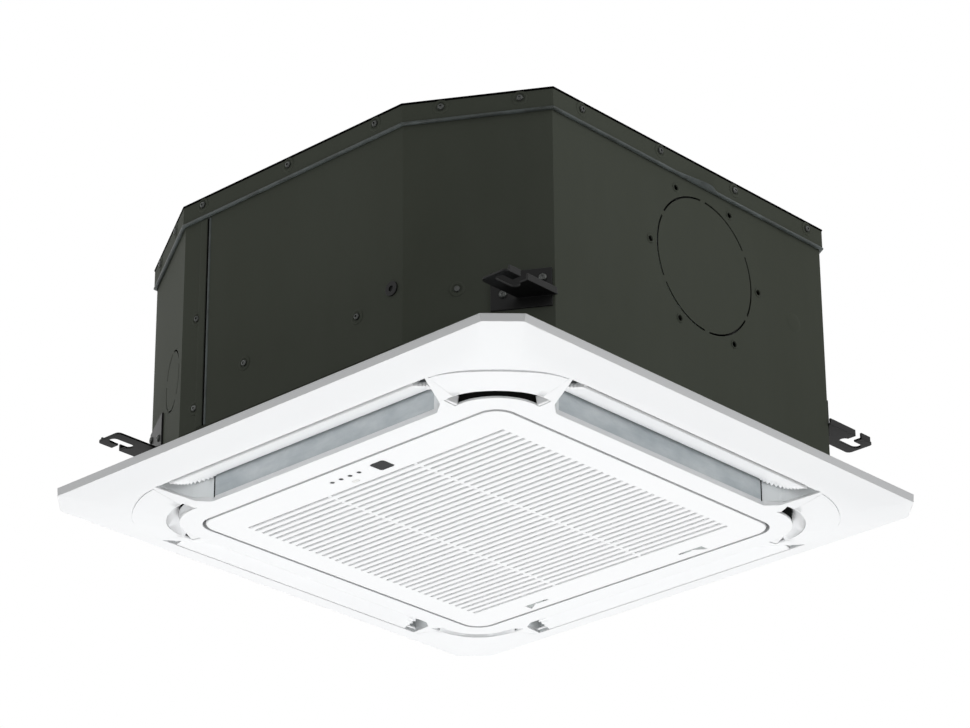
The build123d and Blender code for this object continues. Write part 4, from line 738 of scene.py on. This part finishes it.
SEAM_SIDES = [on_face("front", 0.0, 0.0), on_face("rear", 0.0, 0.0)]
for name, profile, material in (
    ("seam_fold", [(-134, -0.3), (-132.6, 0.75), (-124.4, 1.1), (-123.4, 0.95), (-123.0, -0.3)],
     FINISHES["casing"]),
    ("seam_gap", [(-123.2, -0.3), (-123.2, 0.14), (-120.6, 0.14), (-120.6, -0.3)], SHADOW_LINE),
    # The bead beside the gap takes the hem colour: partly bare metal, partly painted highlight.
    ("seam_bead", [(-120.7, -0.3), (-120.4, 0.6), (-119.4, 0.9), (-118.2, 0.5), (-117.8, -0.3)], HEM),
):
    new_piece(name, *copied(*upright_strip(profile), SEAM_SIDES), material, slot="casing")

# %% [markdown]
# ## Panel with a soft dome
# The CAD panel is made of flat facets. The moulded one is a shallow dome: its slopes run
# into each other. A copy of the panel is welded, cut on a grid so that it has points to
# move, and each point is shifted by the difference between a smooth dome and the facets.
# The corner covers follow the same dome and stand a little proud in the middle of their arc.

# %% Smooth dome
DOME = np.array([
    (0.0, -30.0), (214.0, -30.0), (237.4, -28.65), (287.0, -18.5), (323.7, -8.0), (325.0, 0.0)
])
DOME_CUT, DOME_GRID, DOME_SOFT, DOME_BLEND, DOME_SINK, DOME_EDGE = 24.0, 20.0, 10.0, 6.0, 2.0, 322.0
ARC_CENTRE, COVER_EDGE, STEP_FROM, COVER_STEP = 187.0, 98.3, 70.0, 1.4


def dome_reach(x, y):
    """The three distances whose largest one sets the facets' height."""
    return np.stack([x, y, (x + y + DOME_CUT) / 2])


def ramp(value, start, width):
    """0 up to a start, 1 from start + width on, and straight between them."""
    return np.clip((value - start) / width, 0, 1)


def dome_shift(points):
    """Smooth dome height minus facet height. The facets' height depends on the distance
    max(|x|, |y|, (|x| + |y| + cut) / 2); the smooth one averages that profile over a window
    and uses a soft maximum, the logarithm of the sum of exponentials. It fades out towards
    the flat middle, the rim and the panel's back."""
    reach = dome_reach(np.abs(points[:, 0]), np.abs(points[:, 1]))
    hard = reach.max(axis=0)
    soft = hard + np.log(np.exp((reach - hard) / DOME_BLEND).sum(axis=0)) * DOME_BLEND - DOME_SINK
    window = np.linspace(-DOME_SOFT, DOME_SOFT, 9)
    averaged = np.mean([np.interp(np.clip(soft + w, 0, DOME_EDGE), *DOME.T) for w in window], axis=0)
    facets = np.interp(hard, *DOME.T)
    fade = ramp(-hard, -312, 20) * ramp(hard, 213, 14) * ramp(-points[:, 2], 9, 3)
    return (averaged - facets) * fade


def cover_step(points):
    """How far a corner cover stands proud: a smooth step in the radius, times the sine of twice
    the angle, so that the step is highest in the middle of the arc and fades at both ends."""
    away = np.abs(points[:, :2]) - ARC_CENTRE
    rise = ramp(np.hypot(*away.T), STEP_FROM, COVER_EDGE - STEP_FROM)
    along = np.clip(np.sin(2 * np.arctan2(away[:, 1], away[:, 0])), 0, 1)
    return -COVER_STEP * rise ** 2 * (3 - 2 * rise) * along


def softened(name, node, material, shift):
    """A welded, gridded copy of a node, moved up by a shift of its points, standing for the node."""
    source = frame["nodes"][node].data
    work = bmesh.new()
    work.from_mesh(source)
    bmesh.ops.remove_doubles(work, verts=work.verts, dist=1e-6)
    for axis in (0, 1):
        for at in np.arange(-300, 301, DOME_GRID) / 1000:
            place, normal = [0, 0, 0], [0, 0, 0]
            place[axis], normal[axis] = at, 1
            everything = work.verts[:] + work.edges[:] + work.faces[:]
            bmesh.ops.bisect_plane(work, geom=everything, plane_co=place, plane_no=normal, dist=1e-7)
    mesh = bpy.data.meshes.new(name)
    work.to_mesh(mesh)
    work.free()
    flat = np.empty(len(mesh.vertices) * 3)
    mesh.vertices.foreach_get("co", flat)
    points = flat.reshape(-1, 3)
    points[:, 2] += shift(points * 1000) / 1000
    mesh.vertices.foreach_set("co", points.ravel())
    hang(name, mesh, material, "housing", [node], degrees=24)


softened("panel_moulding", "panel_frame", FINISHES["panel"], dome_shift)
softened("cover_mouldings", "corner_covers", FINISHES["cover"], lambda at: dome_shift(at) + cover_step(at))

# %% [markdown]
# ## Groove floors and slot cheeks
# The gap round a corner cover isn't open: the panel has a step under it, so the gap shows
# as a pale groove, and the radial seams hardly show. Each arc slot also ends in a slanted
# cheek. In the photograph the cheeks look short at the near corner and at the near end of
# the right one, and long, with a pale inner wall, at the others; the real slots may well be
# alike. All of them are strips that follow the smooth dome at a stated depth.

# %% Groove floors and slot cheeks
GROOVE, GROOVE_DEPTH, GROOVE_FLOOR, SEAM_DEPTH, SEAM_HALF = 1.0, 0.5, 0.8, 0.10, 0.5
SLOT_OUTSIDE, SLOT_INSIDE, SLOT_START, COVER_START = 63.5, 50.0, -8.0, 3.0


def polar_patch(radii, degrees, depths):
    """Points at (radius, angle, depth under the dome) about the arc centre of the +X +Y corner;
    the three arrays have one shape."""
    angle = np.radians(degrees)
    x, y = ARC_CENTRE + radii * np.cos(angle), ARC_CENTRE + radii * np.sin(angle)
    flat = np.stack([x, y, np.zeros_like(angle)], -1).reshape(-1, 3)
    flat[:, 2] = np.interp(dome_reach(flat[:, 0], flat[:, 1]).max(axis=0), *DOME.T)
    flat[:, 2] += dome_shift(flat) + np.ravel(depths)
    return flat.reshape(*angle.shape, 3)


def ribbon(radii, degrees, depth, thick):
    """A closed strip through a row of (inner, outer) pairs, its two ends drawn together."""
    inner, outer = np.array(radii, dtype=float)
    start, finish_at = np.array(degrees, dtype=float)
    ring_r = np.stack([inner, outer, outer, inner], -1)
    ring_a = np.stack([start, finish_at, finish_at, start], -1)
    ring_d = np.stack([depth, depth, depth + thick, depth + thick], -1) * np.ones_like(ring_r)
    return capped(polar_patch(ring_r, ring_a, ring_d))


CORNERS = ((1, 1), (-1, 1), (-1, -1), (1, -1))


def in_corners(parts):
    """The same strips in all four corners."""
    return joined([(local * (sx, sy, 1), quads) for sx, sy in CORNERS for local, quads in parts])


sweep = np.linspace(COVER_START, 90 - COVER_START, 30)
steps = np.linspace(SLOT_OUTSIDE + 2, COVER_EDGE, 9)
all_round = np.ones(30)
arc = all_round * (COVER_EDGE - 0.4), all_round * (COVER_EDGE + GROOVE + 0.4)
groove_parts = [ribbon(arc, (sweep, sweep), all_round * GROOVE_DEPTH, GROOVE_FLOOR)]
for edge_at in (COVER_START, 90 - COVER_START):
    wide = np.degrees(SEAM_HALF / steps)
    groove_parts.append(
        ribbon((steps, steps), (edge_at - wide, edge_at + wide), np.full(9, SEAM_DEPTH), GROOVE_FLOOR)
    )
new_piece("cover_groove_floors", *in_corners(groove_parts), FINISHES["panel"], slot="panel")

cheek_r = np.linspace(SLOT_INSIDE + 0.2, SLOT_OUTSIDE - 0.2, 8)
SHORT_CHEEK, LONG_CHEEK, INNER_WALL_SWEEP = 2.0, 17.0, 44.0


def cheek(edge_at, way, lean):
    """A wedge that closes one end of an arc slot; its face leans away by an angle in degrees."""
    foot, tip = edge_at + way * 0.3, edge_at + way * np.linspace(4.5, 2.0, 8)
    foot = np.full(8, foot)
    return capped(np.stack([
        polar_patch(cheek_r, angles, np.full(8, depth))
        for angles, depth in ((foot, 0.5), (tip, 0.5), (tip + way * lean, 9.0), (foot, 9.0))
    ], axis=1))


cheeks = []
for sx, sy in CORNERS:
    for edge_at, way in ((SLOT_START, 1), (90 - SLOT_START, -1)):
        in_shade = sx > 0 and (sy < 0 or way > 0)
        local, quads = cheek(edge_at, way, SHORT_CHEEK if in_shade else LONG_CHEEK)
        cheeks.append((local * (sx, sy, 1), quads))
        if not in_shade:
            along = edge_at + way * np.linspace(0.3, INNER_WALL_SWEEP, 9)
            wall = np.full(9, SLOT_INSIDE + 0.1), np.full(9, SLOT_INSIDE + 0.8)
            local, quads = ribbon(wall, (along, along), np.full(9, 0.6), 9.5)
            cheeks.append((local * (sx, sy, 1), quads))
# The cheeks take the lighter flap white: painted light on the shaded slot ends and inner walls.
new_piece("arc_slot_cheeks", *joined(cheeks), FINISHES["flap"], slot="panel")

# %% [markdown]
# ## Flap teeth
# The ends of each air flap are serrated, which breaks up the air at the blade's end and
# keeps water from gathering there. A toothed rim is laid along each end and round the
# inner corner: it swells, and its underside drops, by a triangle wave that fades at both ends.

# %% Teeth
PIVOT_OUT, PIVOT_UP, FLAP_TILT = 283.199, -14.889, np.radians(22.0)
FLAP_INNER, FLAP_HALF, FLAP_CORNER, FLAP_UNDER, FLAP_THICK = -44.99, 170.0, 22.0, -4.3, 2.6
TEETH, TOOTH_DEEP, TOOTH_DROP, END_DROP, RIM_STRAIGHT, RIM_WIDE = 12, 1.6, 2.6, 0.8, 20.0, 10.0


def toothed_end(side):
    """A closed strip: a straight run and a quarter circle; its edge moves out, and down, by
    (a share + depth * |triangle wave|) * sqrt(sin(pi * place along the strip))."""
    place = np.linspace(0, 1, TEETH * 4 + 1)
    run = place * (RIM_STRAIGHT + FLAP_CORNER * np.pi / 2)
    angle = np.clip((run - RIM_STRAIGHT) / FLAP_CORNER, 0, np.pi / 2)
    middle_x = FLAP_INNER + FLAP_CORNER + np.clip(RIM_STRAIGHT - run, 0, None)
    saw = 1 - np.abs((place * TEETH) % 1 * 2 - 1)
    fade = np.sqrt(np.clip(np.sin(np.pi * place), 0, 1))
    inner = np.full_like(place, FLAP_CORNER - RIM_WIDE)
    outer = FLAP_CORNER - 0.3 + (TOOTH_DEEP * saw + 0.3) * fade
    loop = [(inner, FLAP_UNDER + 0.2), (outer, FLAP_UNDER + 0.2 - (END_DROP + TOOTH_DROP * saw) * fade),
            (outer, FLAP_UNDER + FLAP_THICK - 0.2), (inner, FLAP_UNDER + FLAP_THICK - 0.2)]
    rows = [
        np.column_stack([
            middle_x - radius * np.sin(angle), side * (FLAP_HALF - FLAP_CORNER + radius * np.cos(angle)),
            np.zeros_like(place) + up,
        ])
        for radius, up in loop
    ]
    return capped(np.stack(rows, axis=1))


for side_name, turn in (("right", 0), ("rear", 90), ("left", 180), ("front", 270)):
    c, s = np.cos(np.radians(turn)), np.sin(np.radians(turn))
    tilt_x = np.array([np.cos(FLAP_TILT), 0, -np.sin(FLAP_TILT)])
    tilt_z = np.array([np.sin(FLAP_TILT), 0, np.cos(FLAP_TILT)])
    spin = np.array([[c, s, 0], [-s, c, 0], [0, 0, 1]])
    axes = np.stack([tilt_x, [0, 1, 0], tilt_z]) @ spin
    frame_at = np.vstack([np.array([PIVOT_OUT, 0, PIVOT_UP]) @ spin, axes])
    halves = [copied(*toothed_end(end), [frame_at]) for end in (-1, 1)]
    # The teeth take the lighter flap white, which is painted light.
    new_piece(f"flap_teeth_{side_name}", *joined(halves), FINISHES["flap"], f"air_flap_{side_name}", "panel")

# %% [markdown]
# ## Dark joints
# A small dark line is seen where a sheet-metal guide ends in an outlet. Each is a thin bar.
# The photograph shows none beside the near corner, so the two bars there are left out.

# %% Guide joints
GUIDE_END, GUIDE_FACE, JOINT_HALF, JOINT_GAP, JOINT_FROM, JOINT_TO = 153.0, 237.4, 0.7, 0.8, -24.6, -2.0


def box_form(low, high):
    """A box between two corners, as eight points and six quads."""
    corners = np.array([
        [(low, high)[pick][axis] for axis, pick in enumerate(bits)] for bits in np.ndindex(2, 2, 2)
    ])
    quads = np.array([(0, 1, 3, 2), (4, 6, 7, 5), (0, 4, 5, 1), (2, 3, 7, 6), (0, 2, 6, 4), (1, 5, 7, 3)])
    return corners, quads


quarter_turns = [
    np.vstack([np.zeros(3), [[c, s, 0], [-s, c, 0], [0, 0, 1]]])
    for c, s in ((1, 0), (0, 1), (-1, 0), (0, -1))
]
joints = [
    copied(*box_form(
        (GUIDE_FACE - 0.2, end - JOINT_HALF, JOINT_FROM), (GUIDE_FACE + 0.35, end + JOINT_HALF, JOINT_TO)
    ), [turn])
    for turn in quarter_turns for end in (-GUIDE_END - JOINT_GAP, GUIDE_END + JOINT_GAP)
]
joints = [form for form in joints if form[0][:, 0].mean() - form[0][:, 1].mean() < GUIDE_FACE]
new_piece("guide_joints", *joined(joints), SHADOW_LINE, slot="seal")

# %% [markdown]
# ## Grille edges
# Under each gap of the intake grille the slat has a slanted lower edge, which catches the
# light from below and makes the gap look narrow. Two flush ribs tie the slats together, a
# narrow lip runs round the grille, a little off its middle as in the photograph, and a
# shallow scoop leads the finger to each latch.

# %% Slat edges, ribs and scoops
FACE_Z, SLAT_PITCH, SLAT_ROWS, BAYS, BAY_WIDTH, BAY_RIB = -30.0, 9.6, 36, 3, 116.0, 4.0
RIB_HALF, RIB_TOP, SLAT_PLAY = 2.3, 2.0, 0.05
edge_profile = np.array([(3.15, 0.02), (2.8, 0.02), (2.2, 0.55), (2.5, 1.5), (3.5, 1.5)])
row_y = SLAT_PITCH * (np.arange(SLAT_ROWS) - (SLAT_ROWS - 1) / 2)
starts = (np.arange(BAYS) - (BAYS - 1) / 2) * (BAY_WIDTH + BAY_RIB) - BAY_WIDTH / 2
bar = capped(np.stack([
    np.column_stack([np.full(5, x), edge_profile[:, 0], edge_profile[:, 1] + FACE_Z])
    for x in (SLAT_PLAY, BAY_WIDTH - SLAT_PLAY)
]))
form = copied(*bar, [np.vstack([(x, y, 0), np.eye(3)]) for x in starts for y in row_y])
new_piece("slat_edges", *form, FINISHES["grille"], "grille", "panel")

rib_x = (BAY_WIDTH + BAY_RIB) / 2
field_y = SLAT_PITCH * SLAT_ROWS / 2 - 1.0
ribs = [
    box_form((x - RIB_HALF, -field_y, FACE_Z + 0.02), (x + RIB_HALF, field_y, FACE_Z + RIB_TOP))
    for x in (-rib_x, rib_x)
]
new_piece("grille_ribs", *joined(ribs), FINISHES["grille"], "grille", "panel")

GRILLE_HALF, GRILLE_CORNER, LIP_PLAY = 209.25, 22.0, 0.4
LIP_IN, LIP_OUT, LIP_LOW, LIP_HIGH = GRILLE_HALF - 0.3, GRILLE_HALF + 0.7, 1.2, 2.0


def rounded_square(half, radius, steps=10):
    """Points round a square: four arcs about the corners' centres."""
    rows = []
    for quarter, (sx, sy) in enumerate(CORNERS):
        angle = np.radians(90 * quarter + np.linspace(0, 90, steps))
        rows.append(np.column_stack([sx * (half - radius) + radius * np.cos(angle),
                                     sy * (half - radius) + radius * np.sin(angle)]))
    return np.vstack(rows)


lip = []
for half, up in ((LIP_IN, LIP_LOW), (LIP_OUT, LIP_LOW), (LIP_OUT, LIP_HIGH), (LIP_IN, LIP_HIGH)):
    ring = rounded_square(half, GRILLE_CORNER + half - GRILLE_HALF)
    lip.append(np.column_stack([ring + (-LIP_PLAY, LIP_PLAY), np.full(len(ring), FACE_Z + up)]))
points, faces = np.stack(lip, axis=1), grid_faces(len(lip[0]), 4, True, True)
new_piece("grille_lip", points, faces, FINISHES["grille"], "grille", "panel")

scoop = [(109.2, 194.3), (123.7, 194.3), (123.7, 203.4), (123.7, 203.4)]
wedges = []
for side in (1, -1):
    corners = np.array([(x * side, y, FACE_Z + up) for up in (0.9, 1.5) for x, y in scoop])
    wedges.append((corners, np.array([(0, 1, 2, 3), (4, 7, 6, 5), (0, 4, 5, 1), (1, 5, 6, 2), (3, 7, 4, 0)])))
# The scoops take the grey latch finish: painted shade in the shallow recess.
new_piece("latch_scoops", *joined(wedges), FINISHES["latch"], "grille", "panel")

# %% [markdown]
# ## Filter net
# The CAD filter is a thin sheet. The real one is a woven net: two sets of threads 3 mm
# apart. Every thread is the same four-sided bar, copied across the frame in one step.

# %% Net threads
NET_HALF_X, NET_Y, NET_Z, THREAD, NET_PITCH, WEAVE = 177.0, (-160.0, 177.0), -21.7, 0.45, 3.0, 0.1


def bars(starts, direction, length):
    """Square bars from an array of start points, all along one direction."""
    direction = np.array(direction, dtype=float)
    sideways = np.cross(direction, (0, 0, 1.0))
    square = np.array([(-1, -1), (1, -1), (1, 1), (-1, 1)]) * THREAD / 2
    ring = square[:, :1] * sideways + square[:, 1:] * np.array([0, 0, 1.0])
    frames = [np.vstack([start, np.eye(3)]) for start in starts]
    return copied(*capped(np.stack([ring, ring + direction * length])), frames)


net_x = np.arange(-NET_HALF_X + NET_PITCH, NET_HALF_X, NET_PITCH)
net_y = np.arange(NET_Y[0] + NET_PITCH, NET_Y[1], NET_PITCH)
along_y = bars([(x, NET_Y[0], NET_Z - WEAVE) for x in net_x], (0, 1, 0), NET_Y[1] - NET_Y[0])
along_x = bars([(-NET_HALF_X, y, NET_Z + WEAVE) for y in net_y], (1, 0, 0), 2 * NET_HALF_X)
points = np.vstack([along_y[0], along_x[0]])
faces = np.vstack([along_y[1], along_x[1] + len(along_y[0])])
new_piece("filter_net", points, faces, FINISHES["mesh"], "grille", "mesh", ["filter_mesh"])

# %% [markdown]
# ## Pipe unions
# The two refrigerant pipes end in brass unions: a hexagon to hold with a spanner and a
# thread that the flare nut runs on. Each is one profile turned about the pipe's axis, with
# the thread as a zigzag and the hexagon rows pushed out to flats.

# %% Unions
UNION_HEX, UNION_THREAD, THREAD_PITCH = 20.0, 20.0, 1.5


def union_form(flats, thread, bore, pipe):
    """Profile from the bore's floor, out of the bore, back along the thread and the hexagon,
    and into the seat where the pipe is brazed."""
    turns_of_thread = np.arange(0, int(16 / THREAD_PITCH))
    crests = [(thread, -1.4 - THREAD_PITCH * n) for n in turns_of_thread]
    roots = [(thread - 0.8, -1.4 - THREAD_PITCH * (n + 0.5)) for n in turns_of_thread]
    zigzag = [row for pair in zip(crests, roots) for row in pair]
    profile = [(bore, -UNION_THREAD - 1), (bore, -0.5), (bore + 0.6, 0.0), (thread - 0.9, 0.0), *zigzag]
    profile += [(thread - 0.8, -UNION_THREAD + 0.6)]
    first_flat = len(profile)
    half = flats / 2
    profile += [(half - 0.9, -UNION_THREAD), (half, -UNION_THREAD - 1), (half, -UNION_THREAD - UNION_HEX + 1)]
    profile += [(half - 0.9, -UNION_THREAD - UNION_HEX)]
    profile += [(pipe + 0.08, -UNION_THREAD - UNION_HEX), (pipe + 0.08, -UNION_THREAD - 1.2)]
    return turned(profile, 48, hexagon=range(first_flat, first_flat + 4))


pipe_out = np.array([-CHAMFER_Y, CHAMFER_X, 0]) / CHAMFER_LONG
pipe_axes = np.array([np.cross(pipe_out, (0, 0, 1)), (0, 0, 1), pipe_out])
for name, end, flats, thread, bore, pipe in (
    ("gas_union_turned", (-273.536, 273.956, 205.0), 24.0, 9.5, 5.35, 6.35),
    ("liquid_union_turned", (-288.323, 265.176, 165.0), 17.0, 5.55, 2.175, 3.175),
):
    form = copied(*union_form(flats, thread, bore, pipe), [np.vstack([end, pipe_axes])])
    node = name.replace("_turned", "")
    new_piece(name, *form, FINISHES["nut_brass"], slot="nut_brass", stands_for=[node])
